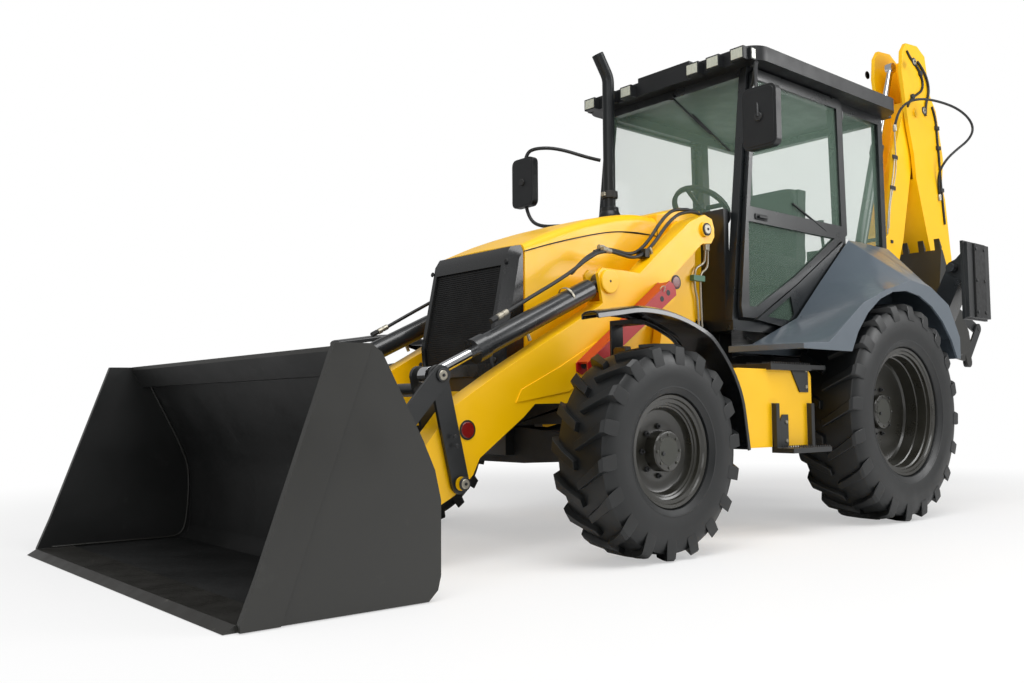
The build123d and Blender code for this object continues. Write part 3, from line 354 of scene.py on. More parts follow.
def disc(centre, axis, radius, thick, edge=3, steps=32):
    return lathe([(radius, 0), (radius, thick - edge), (radius - edge, thick)], centre, axis, steps)


# The same shape on the machine's other side
def acrossY(shape):
    return [(x, -y, z) for x, y, z in shape[0]], [tuple(reversed(face)) for face in shape[1]]


def meshOf(shape):
    mesh = bpy.data.meshes.new("part")
    mesh.from_pydata([spot(*corner) for corner in shape[0]], [], shape[1])
    return mesh


tubeSize = {"loader": 19, "tower": 13, "dipper": 20, "boom": 9, "mirror": 20, "longArm": 24, "weld": 9,
            "gasket": 7, "wiper": 12, "blade": 9, "lever": 10, "grabBar": 14, "pullRing": 5}  # diameters


# Round tubes along given points, and their material
def hose(routes, kind, material, resolution=4):
    curve = bpy.data.curves.new("route", "CURVE")
    curve.dimensions = "3D"
    curve.bevel_depth = tubeSize[kind] / 2000
    curve.bevel_resolution = resolution
    curve.use_fill_caps = True
    curve.resolution_u = 8
    for route in routes:
        spline = curve.splines.new("NURBS")
        spline.points.add(len(route) - 1)
        for point, place in zip(spline.points, route):
            point.co = (*spot(*place), 1)
        spline.order_u = 3
        spline.use_endpoint_u = True
    return takeMesh(addObject("route", curve)), material


# Copies of a mesh, each a step and a turn on from the last, made real and given their material
def repeatTree():
    tree = bpy.data.node_groups.new("repeatAlong", "GeometryNodeTree")
    sockets = {}
    for name, kind in (("Geometry", "Geometry"), ("Count", "Int"), ("Step", "Vector"), ("Turn", "Vector"),
                       ("Finish", "Material")):
        sockets[name] = tree.interface.new_socket(name, in_out="INPUT", socket_type="NodeSocket" + kind)
    tree.interface.new_socket("Geometry", in_out="OUTPUT", socket_type="NodeSocketGeometry")
    given = tree.nodes.new("NodeGroupInput").outputs
    line = addNode(tree, "GeometryNodeMeshLine", settings={"mode": "OFFSET"},
                   links={"Count": given["Count"], "Offset": given["Step"]})
    index = addNode(tree, "GeometryNodeInputIndex")
    turn = addNode(tree, "ShaderNodeVectorMath", settings={"operation": "SCALE"},
                   links={0: given["Turn"], "Scale": index.outputs[0]})
    places = {"Points": line.outputs[0], "Instance": given["Geometry"], "Rotation": turn.outputs[0]}
    copies = addNode(tree, "GeometryNodeInstanceOnPoints", links=places)
    real = addNode(tree, "GeometryNodeRealizeInstances", links={"Geometry": copies.outputs[0]})
    painted = addNode(tree, "GeometryNodeSetMaterial",
                      links={"Geometry": real.outputs[0], "Material": given["Finish"]})
    out = tree.nodes.new("NodeGroupOutput")
    tree.links.new(painted.outputs[0], out.inputs[0])
    return tree, {name: socket.identifier for name, socket in sockets.items()}


repeatAlong, repeatSocket = repeatTree()


# Copies and their material; the shape is given about the origin, step in millimetres and turn in degrees
def repeated(shape, count, material, origin=(0, 0, 0), step=(0, 0, 0), turn=(0, 0, 0)):
    mesh = bpy.data.meshes.new("element")
    mesh.from_pydata([Vector(corner) / 1000 for corner in shape[0]], [], shape[1])
    holder = addObject("element", mesh)
    modifier = holder.modifiers.new("repeat", "NODES")
    modifier.node_group = repeatAlong
    modifier[repeatSocket["Count"]] = count
    modifier[repeatSocket["Step"]] = [value / 1000 for value in step]
    modifier[repeatSocket["Turn"]] = [math.radians(value) for value in turn]
    modifier[repeatSocket["Finish"]] = material
    made = takeMesh(holder)
    made.transform(Matrix.Translation(spot(*origin)))
    return made, material


# One mesh from shapes or meshes with their materials, riding on a body, or left unattached where it stands
# when given a bend
def piece(name, body, parts, replaced=(), bevel=0.0, angle=40, bend=None):
    bm = bmesh.new()
    mesh = bpy.data.meshes.new(name)
    for part, material in parts:
        source = meshOf(part) if isinstance(part, tuple) else part
        first = len(bm.faces)
        bm.from_mesh(source)
        bm.faces.ensure_lookup_table()
        if material.name not in mesh.materials:
            mesh.materials.append(material)
        index = mesh.materials.find(material.name)
        for face in bm.faces[first:]:
            face.material_index = index
    bmesh.ops.recalc_face_normals(bm, faces=bm.faces)
    bm.to_mesh(mesh)
    bm.free()
    smoothShade(mesh, angle)
    made = addObject(name, mesh)
    if bevel:
        soften(made, bevel)
    if bend:
        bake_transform(made)
    else:
        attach(made, body)
    if replaced:
        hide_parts(*replaced)


# A tread bar with sloping sides. Stations are y, place along the tread, half width, top and foot radius
def lugShape(stations, pitch, side):
    lugFlare = 7  # how much wider a bar is at its foot
    corners = []
    for y, along, half, top, foot in stations:
        for shift, radius in ((-half, top), (half, top), (half + lugFlare, foot),
                              (-half - lugFlare, foot)):
            angle = (along * pitch + shift) / top
            corners.append((radius * math.sin(angle), side * y, radius * math.cos(angle)))
    faces = [(0, 1, 2, 3), tuple(4 * len(stations) - 4 + i for i in (3, 2, 1, 0))]
    for ring in range(len(stations) - 1):
        for i in range(4):
            near, far = 4 * ring, 4 * ring + 4
            following = (i + 1) % 4
            faces.append((near + i, far + i, far + following, near + following))
    return corners, faces


# Wheels: tyre outer radius, section width, rim radius, tread half width and bars in a row,
# then the place of the rim's web, hub radius, hub reach and depth, and ring of bolts
wheels = {
    "front": {"x": 2175, "y": 955, "z": 484, "radius": 487, "width": 318, "rim": 229, "tread": 145,
              "lugs": 18, "web": 40, "hub": 92, "reach": 112, "depth": -6, "bolts": 8, "boltRing": 112},
    "rear": {"x": 0, "y": 890, "z": 650, "radius": 652, "width": 408, "rim": 356, "tread": 182,
             "lugs": 20, "web": -20, "hub": 105, "reach": 30, "depth": -170, "bolts": 10, "boltRing": 140},
}


# A tyre whose bars wrap over its shoulders, and a rim with a stepped well
def makeWheel(end, side, sign):
    size = wheels[end]
    centre = (size["x"], sign * size["y"], size["z"])
    half = size["width"] / 2
    outer, bead, tread = size["radius"], size["rim"], size["tread"]
    wall = outer - bead
    carcass = outer - 30
    wallLine = [(bead + 1, 0.69 * half), (bead + 27.5, 0.80 * half - 11), (bead + 30, 0.86 * half),
                (bead + 0.20 * wall, 0.93 * half), (bead + 0.215 * wall, 0.955 * half),
                (bead + 0.235 * wall, 0.955 * half), (bead + 0.25 * wall, 0.95 * half),
                (bead + 0.36 * wall, 0.992 * half), (bead + 0.48 * wall, 0.996 * half),
                (bead + 0.60 * wall, 0.985 * half), (carcass - 0.20 * wall, 0.96 * half),
                (carcass - 0.10 * wall, 0.91 * half), (carcass - 0.03 * wall, 0.82 * half),
                (carcass, 0.6 * tread), (carcass + 2, 0.2 * tread)]
    profile = [(r, -y) for r, y in wallLine] + wallLine[::-1]
    profile.append(profile[0])
    carcassShape = lathe(profile, centre, steps=96, capped=False)
    pitch = 2 * math.pi * outer / size["lugs"]
    stations = [(3, 0.30, 0.11 * pitch, outer - 1, carcass - 12),
                (0.5 * tread, 0.06, 0.12 * pitch, outer - 2, carcass - 12),
                (tread - 6, -0.20, 0.15 * pitch, outer - 6, carcass - 20),
                (tread + 8, -0.25, 0.17 * pitch, outer - 18, carcass - 26),
                (0.975 * half, -0.25, 0.17 * pitch, outer - 0.20 * wall, carcass - 0.22 * wall),
                (0.985 * half, -0.24, 0.14 * pitch, outer - 0.33 * wall, carcass - 0.27 * wall)]
    tyre = [(carcassShape, tyreRubber)]
    for row in (1, -1):  # the second row stands half a step on from the first
        tyre.append(repeated(lugShape(stations, pitch, row), size["lugs"], tyreRubber, centre,
                             turn=(0, 360 / size["lugs"], 0)))
        if row < 0:
            here = Matrix.Translation(spot(*centre))
            tyre[-1][0].transform(here @ Matrix.Rotation(math.pi / size["lugs"], 4, "Y") @ here.inverted())
    body = f"{end}_wheel_{side}"
    piece(f"{end}Tyre_{side}", body, tyre, (f"{end}_tyre_{side}",), bevel=4, angle=35)

    lip, well, web, hub, reach = bead + 26, 0.8 * half, size["web"], size["hub"], size["reach"]
    rimLine = [
        (0.01, reach - 3), (hub - 12, reach), (hub - 4, reach - 2), (hub, reach - 8), (hub, web + 9),
        (hub + 26, web + 6), (bead - 64, web + 6), (bead - 44, web + 12), (bead - 36, web + 24),
        (bead - 32, 0.5 * (web + well)), (bead - 25, 0.5 * (web + well) + 4), (bead - 23, well - 34),
        (bead - 13, well - 30), (bead - 11, well - 14), (bead + 4, well - 11), (bead + 8, well - 3),
        (lip - 4, well), (lip, well - 3), (lip, well - 10), (bead, 0.70 * half), (bead, -0.70 * half),
        (lip, 10 - well), (lip, -well), (bead - 12, -well), (bead - 26, 30 - well), (bead - 44, web - 4),
        (hub, web - 4), (hub, size["depth"]), (0.01, size["depth"])]

    def outward(profile, place, steps):
        return lathe([(radius, sign * y) for radius, y in profile], place, steps=steps)

    onRing, onHub = (size["boltRing"], sign * (web + 5), 0), (hub - 17, sign * (reach - 2), 0)
    plugPlace = (centre[0] + hub * 0.42, centre[1] + sign * reach, centre[2] - hub * 0.1)
    hubFace = outward([(0.01, reach + 1), (hub - 30, reach + 1), (hub - 27, reach - 3)], centre, 48)
    plug = outward([(10, 0), (10, 7), (7, 8)], plugPlace, 6)
    rim = [(outward(rimLine, centre, 96), rimEnamel), (hubFace, hubCasting), (plug, castIron)]
    nut = outward([(13, 0), (13, 11), (10, 14)], onRing, 6)
    stud = outward([(6, 0), (6, 24), (4, 25)], onRing, 10)
    capBolt = outward([(7, 0), (7, 5), (5, 6)], onHub, 8)
    for shape, count, material in ((nut, size["bolts"], castIron), (stud, size["bolts"], castIron),
                                   (capBolt, 8, hubCasting)):
        rim.append(repeated(shape, count, material, centre, turn=(0, 360 / count, 0)))
    piece(f"{end}Rim_{side}", body, rim, (f"{end}_rim_{side}",), angle=30)


for end in wheels:
    for side, sign in sides:
        makeWheel(end, side, sign)
print("wheels made")

# Nose: a fine mesh behind the posts, with its screws
meshLine = [(2538, 902), (2546, 1000), (2504, 1200), (2464, 1388)]  # x and z up the nose, behind its posts
meshBack = meshLine + [(x - 5, z) for x, z in meshLine[::-1]]
wirePitch = 11
noseParts = [(prismAcross(meshBack, -268, 268), matBlack)]
slat = boxBetween((-2, 5), (-268, 268), (-2.5, 2.5))
for (xLow, zLow), (xHigh, zHigh) in zip(meshLine, meshLine[1:]):
    count = round((zHigh - zLow) / wirePitch)
    step = ((xHigh - xLow) / count, 0, (zHigh - zLow) / count)
    noseParts.append(repeated(slat, count, matBlack, (xLow, 0, zLow), step))
for y in (-308, 308):
    for z, x in ((915, 2556), (1405, 2478)):
        noseParts.append((disc((x, y, z), (1, 0, 0.15), 13, 6), matBlack))
piece("noseMesh", "chassis", noseParts)


# Each shape and finish, and the same on the machine's other side
def bothSides(shapes):
    return shapes + [(acrossY(shape), material) for shape, material in shapes]


# Discs on one centre that face sideways: rows of radius, thickness, edge and finish
def stacked(x, y, z, rows):
    return [(disc((x, y, z), (0, 1, 0), radius, thick, edge), material)
            for radius, thick, edge, material in rows]


def pinHead(x, y, z, radius=34):
    return stacked(x, y, z, ((radius, 7, 3, castIron), (radius - 8, 10, 3, zincSteel), (7, 15, 2, castIron)))


def reflector(x, y, z, radius):
    return stacked(x, y, z, ((radius, 3, 1, blackMoulding), (radius - 8, 4.5, 2, reflectorRed)))


# Loader arms: pins, reflectors and the pressed edge of the lower plate
armFace = 560.3
lowerEdge = [(2640, 705), (2606, 766), (2360, 878), (2107, 1009), (2060, 1000), (2150, 850), (2300, 760)]
armParts = reflector(2920, armFace, 586, 44) + pinHead(2015, armFace, 1316)
armParts.append((prismAcross(lowerEdge, armFace - 1, armFace + 4), yellowEnamel))
armParts.append((lathe([(62, 0), (62, 10), (56, 14)], (2015, armFace - 0.5, 1316)), yellowEnamel))
for x, z in ((2500, 1000), (2330, 1130), (1620, 1500)):
    armParts.append((disc((x, 505, z), (0.45, 0, 0.89), 9, 40), zincSteel))
piece("armFittings", "loader_arms", bothSides(armParts), bevel=1.5)

towerParts = reflector(1335, 430.3, 1382, 40) + pinHead(1235, 574.3, 1672, 36)
piece("towerFittings", "chassis", bothSides(towerParts), bevel=1)

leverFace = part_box("tilt_levers")[1][1] * 1000
leverParts = []
for x, z in ((3090, 821), (2973, 357)):
    leverParts += pinHead(x, leverFace, z, 30)
for z in (520, 560):
    leverParts.append((disc((3018 + (z - 540) * 0.25, leverFace, z), (0, 1, 0), 10, 5, 2), castIron))
piece("leverPins", "tilt_levers", bothSides(leverParts), bevel=1)

# Lock struts: a red channel beside each arm, with its pins and two holes, drawn as black discs that are
# painted shade for the holes; the left one has a pull ring
strutFrom, strutTo, strutY = (1655, 1281), (2240, 868), 606
runX, runZ = strutTo[0] - strutFrom[0], strutTo[1] - strutFrom[1]
run = math.hypot(runX, runZ)
alongX, alongZ = runX / run, runZ / run


def onStrut(along, across):
    return (strutFrom[0] + alongX * along - alongZ * across, strutFrom[1] + alongZ * along + alongX * across)


strutWall = [onStrut(*place) for place in ((-40, -44), (run, -34), (run + 20, 0), (run, 34), (-40, 44),
                                           (-55, 20), (-55, -20))]
strutBack = [onStrut(*place) for place in ((-30, 30), (run - 10, 22), (run - 10, 34), (-30, 44))]
strutParts = [(prismAcross(strutWall, strutY + 34, strutY + 42), lockRed),
              (prismAcross(strutWall, strutY - 42, strutY - 34), lockRed),
              (prismAcross(strutBack, strutY - 36, strutY + 36), lockRed)]
for along in (20, run - 30):
    x, z = onStrut(along, 0)
    strutParts.append((lathe([(15, 0), (15, strutY - 25 - armFace)], (x, armFace - 1, z)), castIron))
# The holes: black discs on the outer wall, painted shade where the dark inside of the channel would show
for along in (8, 70):
    x, z = onStrut(along, 0)
    strutParts.append((disc((x, strutY + 42, z), (0, 1, 0), 15, 1.2, 0.4), blackMoulding))
x, z = onStrut(40, 26)
pullRing = [(x, strutY + 46, z), (x - 14, strutY + 52, z + 18), (x + 12, strutY + 50, z + 34),
            (x + 26, strutY + 44, z + 10)]
piece("lockStrut", "loader_arms", bothSides(strutParts) + [hose([pullRing], "pullRing", zincSteel)], bevel=2)


# Two lengths across the machine, in order, on one of its sides
def span(sign, inner, outer):
    return sorted((sign * inner, sign * outer))


def onSide(routes, sign):
    return [[(x, sign * y, z) for x, y, z in route] for route in routes]


# Bucket hoses: along each tilt barrel, over the arm's hump in a loose wave, then down behind the tower
for side, sign in sides:
    barrelRoutes = [
        [(2690, 505, 1100), (2640, 505, 1128), (2480, 505, 1214), (2330, 505, 1292), (2200, 503, 1366),
         (2110, 500, 1428), (2030, 500, 1468)],
        [(2190, 470, 1350), (2140, 474, 1400), (2070, 478, 1455), (2020, 480, 1476)]]
    armRoutes = [
        [(2040, 500, 1464), (1965, 500, 1488), (1866, 500, 1478), (1770, 500, 1466), (1690, 500, 1490),
         (1600, 502, 1560), (1500, 504, 1672), (1410, 505, 1742), (1330, 504, 1768), (1270, 502, 1778)],
        [(2030, 474, 1476), (1960, 472, 1502), (1866, 472, 1500), (1770, 474, 1488), (1690, 474, 1514),
         (1604, 474, 1586), (1510, 472, 1694), (1420, 470, 1768), (1335, 470, 1790), (1270, 470, 1796)]]
    rearRoutes = [
        [(1285, 502, 1776), (1210, 500, 1780), (1135, 492, 1756), (1100, 470, 1690), (1098, 455, 1610)],
        [(1285, 470, 1794), (1200, 466, 1798), (1110, 458, 1770), (1066, 448, 1690), (1062, 442, 1610)]]
    towerBend = ("chassis", spot(1270, sign * 486, 1790), spot(1085, sign * 450, 1640))
    for name, body, routes, bend in (("barrelHoses", "tilt_barrels", barrelRoutes, None),
                                     ("armHoses", "loader_arms", armRoutes, None),
                                     ("towerHoses", "loader_arms", rearRoutes, towerBend)):
        piece(f"{name}_{side}", body, [hose(onSide(routes, sign), "loader", hoseRubber)], bend=bend)
    barrelWay = Vector((0.886, 0, -0.464))
    tie = lathe([(50, -6), (53, -6), (53, 6), (50, 6), (50, -6)], (2255, sign * 505, 1222), -barrelWay, 32,
                False)
    ends = [(lathe([(13, -34), (15, -34), (15, -6), (12, -4), (12, 4), (16, 6), (16, 30), (11, 34)],
                   (2672, sign * 505, 1112), barrelWay, 10), zincSteel),
            (lathe([(14, -20), (14, 20)], (2722, sign * 505, 1088), barrelWay, 6), castIron),
            (tie, zincSteel)]
    piece(f"barrelFittings_{side}", "tilt_barrels", ends, bevel=1)
    joints = []
    for y, z in ((500, 1488), (472, 1502)):
        joints.append((lathe([(13, -30), (14, -30), (14, -8), (17, -7), (17, 7), (14, 8), (14, 30), (13, 30)],
                             (1966, sign * y, z), (-0.98, 0, -0.12), 10), zincSteel))
    joints.append((boxBetween((1655, 1690), span(sign, 455, 520), (1478, 1524)), blackMoulding))
    piece(f"hoseJoints_{side}", "loader_arms", joints, bevel=2)
    tubes = [[(1098, 455, 1620), (1098, 452, 1540), (1110, 450, 1505), (1170, 447, 1480), (1190, 446, 1450),
              (1190, 446, 1345), (1165, 446, 1300), (1160, 446, 1120)],
             [(1062, 442, 1620), (1062, 444, 1530), (1075, 446, 1480), (1125, 446, 1455), (1140, 446, 1420),
              (1138, 446, 1290), (1130, 446, 1120)]]
    tubeParts = [hose(onSide(tubes, sign), "tower", zincSteel),
                 (boxBetween((1115, 1215), span(sign, 434, 462), (1400, 1432)), clampGreen)]
    for px, py in ((1098, 455), (1062, 442)):
        tubeParts.append((lathe([(12, -26), (13, -26), (13, 26), (12, 26)], (px, sign * py, 1612), (0, 0, 1),
                                10), zincSteel))
    piece(f"towerTubes_{side}", "chassis", tubeParts)
print("loader dressed")

# Bucket: weld beads along the side plates
seams = [[(4160, y, 30), (3900, y, 30), (3640, y, 28), (3530, y, 30), (3500, y, 110), (3490, y, 340),
          (3515, y, 450), (3640, y, 690), (3735, y, 862)] for y in (-1093, 1093)]
piece("bucketWelds", "loader_bucket", [hose(seams, "weld", bucketPaint, 2)])


# A smooth curve through given points, in so many steps between each two
def smoothLine(points, steps=6):
    ends = [points[0]] + list(points) + [points[-1]]
    line = []
    for before, here, after, beyond in zip(ends, ends[1:], ends[2:], ends[3:]):
        for i in range(steps):
            t = i / steps
            line.append(tuple(0.5 * (2 * q + (r - p) * t + (2 * p - 5 * q + 4 * r - w) * t * t
                                     + (3 * q - p - 3 * r + w) * t ** 3)
                              for p, q, r, w in zip(before, here, after, beyond)))
    return line + [tuple(points[-1])]


# Closed sections of the same length joined into a solid with capped ends
def skin(sections):
    size = len(sections[0])
    corners = [corner for section in sections for corner in section]
    faces = [tuple(range(size)), tuple(reversed(range(len(corners) - size, len(corners))))]
    for ring in range(len(sections) - 1):
        for i in range(size):
            near, far = ring * size, (ring + 1) * size
            following = (i + 1) % size
            faces.append((near + i, far + i, far + following, near + following))
    return corners, faces


# Hood: a pressed skin with a soft shoulder, its seam gasket and hinge barrels; x, lower and upper edge
hoodLine = smoothLine([(1401.5, 1646, 1766), (1560, 1648, 1762), (1755, 1631, 1730), (1960, 1586, 1676),
                       (2180, 1526, 1598), (2300, 1490, 1547), (2397, 1459, 1502)])
hoodWall, hoodHalfWidth = 12, 353.5


def hoodSection(x, low, high, wall):
    half = hoodHalfWidth - wall
    top = high - wall
    shoulder = min(52, 0.8 * (top - low))
    path = [(half, low)]
    for step in range(7):
        angle = math.radians(90 * step / 6)
        path.append((half - shoulder + shoulder * math.cos(angle),
                     top - 7 - shoulder + shoulder * math.sin(angle)))
    path += [(half * 0.55, top - 2), (0, top)]
    return [(x, y, z) for y, z in path] + [(x, -y, z) for y, z in path[-2::-1]]


hoodSections = [hoodSection(*place, 0) + hoodSection(*place, hoodWall)[::-1] for place in hoodLine]
hoodParts = [(skin(hoodSections), yellowEnamel)]
for y in (-250, 250):
    hoodParts.append((lathe([(12, -40), (12, 40)], (1413, y, 1760), steps=24), yellowEnamel))
piece("hoodSkin", "hood", hoodParts, ("hood",), bevel=2, angle=50)
gaskets = [[(x, side * 352.5, low - 1) for x, low, high in hoodLine[::3]] for side in (-1, 1)]
gaskets.append([(1399, -352, 1650), (1399, -352, 1720), (1399, -318, 1764), (1399, 0, 1772),
                (1399, 318, 1764), (1399, 352, 1720), (1399, 352, 1650)])
piece("hoodGasket", "chassis", [hose(gaskets, "gasket", matBlack, 2)])

# Front fenders: a bent sheet with turned-down edges, its front corner cut back; x, z and inner edge
for side, sign in sides:
    fenderEdge, postX = 1104, (2135, 2215)  # the sheet's outer edge, and the post along the machine
    crest = smoothLine([
        (2652, 1078, 1000), (2520, 1098, 940), (2382, 1118, 885), (2240, 1116, 874), (2114, 1098, 872),
        (1985, 1062, 870), (1862, 1004, 866), (1729, 868, 850), (1652, 730, 834), (1622, 590, 830),
        (1603, 474, 830)], 4)
    sections = []
    for i, (x, z, inner) in enumerate(crest):
        ahead = crest[min(i + 1, len(crest) - 1)]
        behind = crest[max(i - 1, 0)]
        dx, dz = ahead[0] - behind[0], ahead[1] - behind[1]
        length = math.hypot(dx, dz)
        nx, nz = dz / length, -dx / length
        if nz < 0 or (abs(nz) < 0.3 and nx > 0):
            nx, nz = -nx, -nz
        middle = (inner + fenderEdge) / 2
        outside = ((inner, -26), (inner + 3, -4), (inner + 24, 6), (middle, 9), (fenderEdge - 24, 6),
                   (fenderEdge - 3, -4), (fenderEdge, -26))
        inside = ((fenderEdge - 8, -26), (fenderEdge - 10, -10), (fenderEdge - 26, -3), (middle, 0),
                  (inner + 26, -3), (inner + 10, -10), (inner + 8, -26))
        sections.append([(x + nx * rise, sign * y, z + nz * rise) for y, rise in outside + inside])
    fender = [(skin(sections), glossFender)]
    for outer, low, high in ((764, 590, 1075), (900, 1066, 1090), (788, 589.5, 601)):  # its post
        fender.append((boxBetween(postX, span(sign, 752, outer), (low, high)), blackMoulding))
    piece(f"frontFender_{side}", f"knuckle_{side}", fender, (f"front_fender_{side}",), bevel=2)
print("hood and front fenders made")

# Backhoe: hoses on the dipper, a loop from boom to dipper, steel tubes and clamps
dipperHoses = [
    [(-2014, 140, 3615), (-2040, 141, 3585), (-2110, 142, 3545), (-2200, 143, 3500), (-2268, 143, 3420),
     (-2258, 143, 3335), (-2150, 143, 3270), (-2045, 142, 3215), (-1992, 141, 3140)],
    [(-2180, 146, 3560), (-2260, 147, 3520), (-2345, 147, 3440), (-2366, 147, 3330), (-2300, 146, 3225),
     (-2290, 145, 3120)],
    [(-2022, -142, 3420), (-2000, -144, 3480), (-2019, -144, 3560), (-2090, -144, 3640), (-2200, -143, 3668),
     (-2300, -142, 3660)],
    [(-2417, 141, 3224), (-2480, 142, 3130), (-2487, 142, 2960), (-2512, 142, 2790), (-2535, 142, 2480),
     (-2572, 142, 2230)]]
dipperParts = [hose(dipperHoses, "dipper", hoseRubber)]
for x, z in ((-2530, 2520), (-2500, 2880), (-2485, 3050)):
    dipperParts.append((boxBetween((x - 26, x + 26), (134, 156), (z - 16, z + 16)), castIron))
for x, z in ((-2230, 3470), (-2080, 3240)):
    dipperParts.append((disc((x, 135, z), (0, 1, 0), 24, 20), castIron))
for x, z in ((-2140, 3120), (-2000, 3500)):
    dipperParts += bothSides(pinHead(x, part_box("dipper")[1][1] * 1000 - 12, z, 34))
piece("dipperHoses", "dipper", dipperParts, bevel=1)
tubeY = 99.6  # between the boom's face and the dipper's
boomTubes = [[(x, tubeY, z) for x, z in line] for line in (
    ((-1850, 2990), (-1838, 2880), (-1850, 2760), (-1850, 2600), (-1800, 2470), (-1720, 2280), (-1700, 2100)),
    ((-1830, 2700), (-1800, 2560), (-1745, 2400), (-1690, 2200), (-1670, 2050)))]
boomParts = [hose(boomTubes, "boom", zincSteel)]
for x, z in ((-1842, 2700), (-1790, 2440)):
    boomParts.append((boxBetween((x - 34, x + 44), (94, 104.3), (z - 16, z + 16)), castIron))
for x in (-1740, -1560):
    boomParts.append((boxBetween((x - 16, x + 16), (-104, 104), (1985, 2010)), castIron))
piece("boomTubes", "boom", boomParts, bevel=1.5)
loopRoute = [
    (-1846, 104, 2960), (-1856, 120, 3060), (-1900, 180, 3150), (-2030, 250, 3190), (-2290, 290, 3200),
    (-2560, 300, 3196), (-2770, 300, 3150), (-2838, 300, 3070), (-2740, 296, 2960), (-2560, 270, 2850),
    (-2470, 220, 2760), (-2450, 165, 2660), (-2470, 146, 2560), (-2490, 144, 2480)]
piece("dipperHoseLoop", "boom", [hose([loopRoute], "dipper", hoseRubber)],
      bend=("dipper", spot(-1860, 130, 3080), spot(-2480, 150, 2600)))
for name, body, place in (("loopEnd", "dipper", (-2490, 144, 2450)),
                          ("loopStart", "boom", (-1846, 102, 2940))):
    piece(name, body, [(lathe([(14, -24), (15, -24), (15, 24), (13, 28)], place, (0, 0, 1), 10), zincSteel)])
print("backhoe dressed")


# Square-faced work lamp that looks along way (1 to the front, -1 to the rear)
def lampShape(x, y, z, way, wide, high):
    face = x + way * 50
    rim = 8
    parts = [(boxBetween(sorted((x, face)), (y - wide, y + wide), (z - high, z + high)), blackMoulding),
             (boxBetween(sorted((face - way * 2, face + way * 1.5)), (y - wide + rim, y + wide - rim),
                         (z - high + rim, z + high - rim)), lampGlass)]
    for rib in (y - wide / 2, y, y + wide / 2 - 3):
        parts.append((boxBetween(sorted((face - way, face + way * 2.5)), (rib, rib + 3),
                                 (z - high + rim + 1, z + high - rim - 1)), lampGlass))
    return parts


# Lamps under the roof's edges
lampParts = []
for x, y in ((911, 273), (911, 426), (911, 602)):
    lampParts += lampShape(x, y, 2736, 1, 48, 38)
for y in (300, 560):
    lampParts += lampShape(-771, y, 2736, -1, 46, 36)
lampParts = bothSides(lampParts)
sideLamp = [(boxBetween((842, 912), (650, 668), (2700, 2772)), blackMoulding),
            (boxBetween((849, 905), (660, 670), (2707, 2765)), lampGlass)]
lampParts += bothSides(sideLamp)
mirrorY, mirrorZ = 953, 2216  # middle of the left mirror


def mirrorOutline(wide, high, radius):
    corners = []
    for sy, sz, start in ((1, -1, -90), (1, 1, 0), (-1, 1, 90), (-1, -1, 180)):
        for step in range(5):
            angle = math.radians(start + step * 22.5)
            corners.append((mirrorY + sy * (wide / 2 - radius) + radius * math.cos(angle),
                            mirrorZ + sz * (high / 2 - radius) + radius * math.sin(angle)))
    return corners


# Mirrors on bent tubes: each layer's width, height, corner radius, front and back
mirrorParts = []
for wide, high, radius, front, back, material in (
        (214, 336, 40, 1214, 1262, blackMoulding), (186, 308, 28, 1258, 1264.5, blackMoulding),
        (194, 316, 30, 1206, 1216, blackMoulding), (182, 304, 26, 1205, 1208, mirrorGlass)):
    mirrorParts.append((prismAlong(mirrorOutline(wide, high, radius), front, back), material))
mirrorParts.append((disc((1262, mirrorY, mirrorZ), (1, 0, 0), 24, 14), castIron))
mirrorParts = bothSides(mirrorParts)
hanger = [[(1272, 953, 2216), (1262, 945, 2300), (1180, 880, 2480), (1040, 790, 2610), (900, 700, 2668),
           (868, 640, 2672)],
          [(868, 640, 2560), (900, 672, 2560), (985, 740, 2610), (1040, 790, 2612)]]
longArm = [[(925, -545, 1900), (1000, -548, 1896), (1120, -700, 1898), (1200, -860, 1906), (1228, -935, 1980),
            (1234, -950, 2072)],
           [(905, -560, 2350), (960, -600, 2362), (1110, -760, 2440), (1205, -880, 2450), (1236, -945, 2420),
            (1240, -950, 2340)]]
mirrorParts += [hose(hanger, "mirror", blackMoulding), hose(longArm, "longArm", blackMoulding)]
piece("lampsAndMirrors", "chassis", lampParts + mirrorParts, ("lamps_and_mirrors",), bevel=3)


# A place 9 mm ahead of the leaning windshield
def onGlass(y, z):
    return (918 - (z - 1831) * 100 / 818 + 9, y, z)


# Wiper over the windshield, with its arm from the roof
wiperArm = [onGlass(*place) for place in ((10, 2650), (100, 2560), (210, 2455), (330, 2340))]
wiperBlade = [onGlass(*place) for place in ((180, 2500), (330, 2350), (480, 2200))]
wiperParts = [hose([wiperArm], "wiper", blackMoulding), hose([wiperBlade], "blade", matBlack),
              (disc(onGlass(4, 2655), (1, 0, 0.12), 20, 16), blackMoulding)]
piece("wiper", "chassis", wiperParts)


# Inside the cab: a padded seat and the console's levers, which show through the glass
def cushion(name, size, place, tilt):
    bm = bmesh.new()
    bmesh.ops.create_cube(bm, size=1.0)
    bmesh.ops.subdivide_edges(bm, edges=bm.edges, cuts=3, use_grid_fill=True)
    for vert in bm.verts:
        x, y, z = vert.co
        vert.co.z *= 1 - 0.35 * (abs(2 * x) ** 3 + abs(2 * y) ** 3) / 2
        vert.co.z -= 0.10 * math.cos(math.pi * y) if z > 0 else 0
    mesh = bpy.data.meshes.new(name)
    bmesh.ops.scale(bm, verts=bm.verts, vec=[s / 1000 for s in size])
    bmesh.ops.rotate(bm, verts=bm.verts, matrix=Matrix.Rotation(math.radians(tilt), 3, "Y"))
    bmesh.ops.translate(bm, verts=bm.verts, vec=spot(*place))
    bm.to_mesh(mesh)
    bm.free()
    mesh.materials.append(seatCloth)
    smoothShade(mesh, 60)
    made = addObject(name, mesh)
    rounding = made.modifiers.new("rounding", "SUBSURF")
    rounding.levels = rounding.render_levels = 2
    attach(made, "chassis")


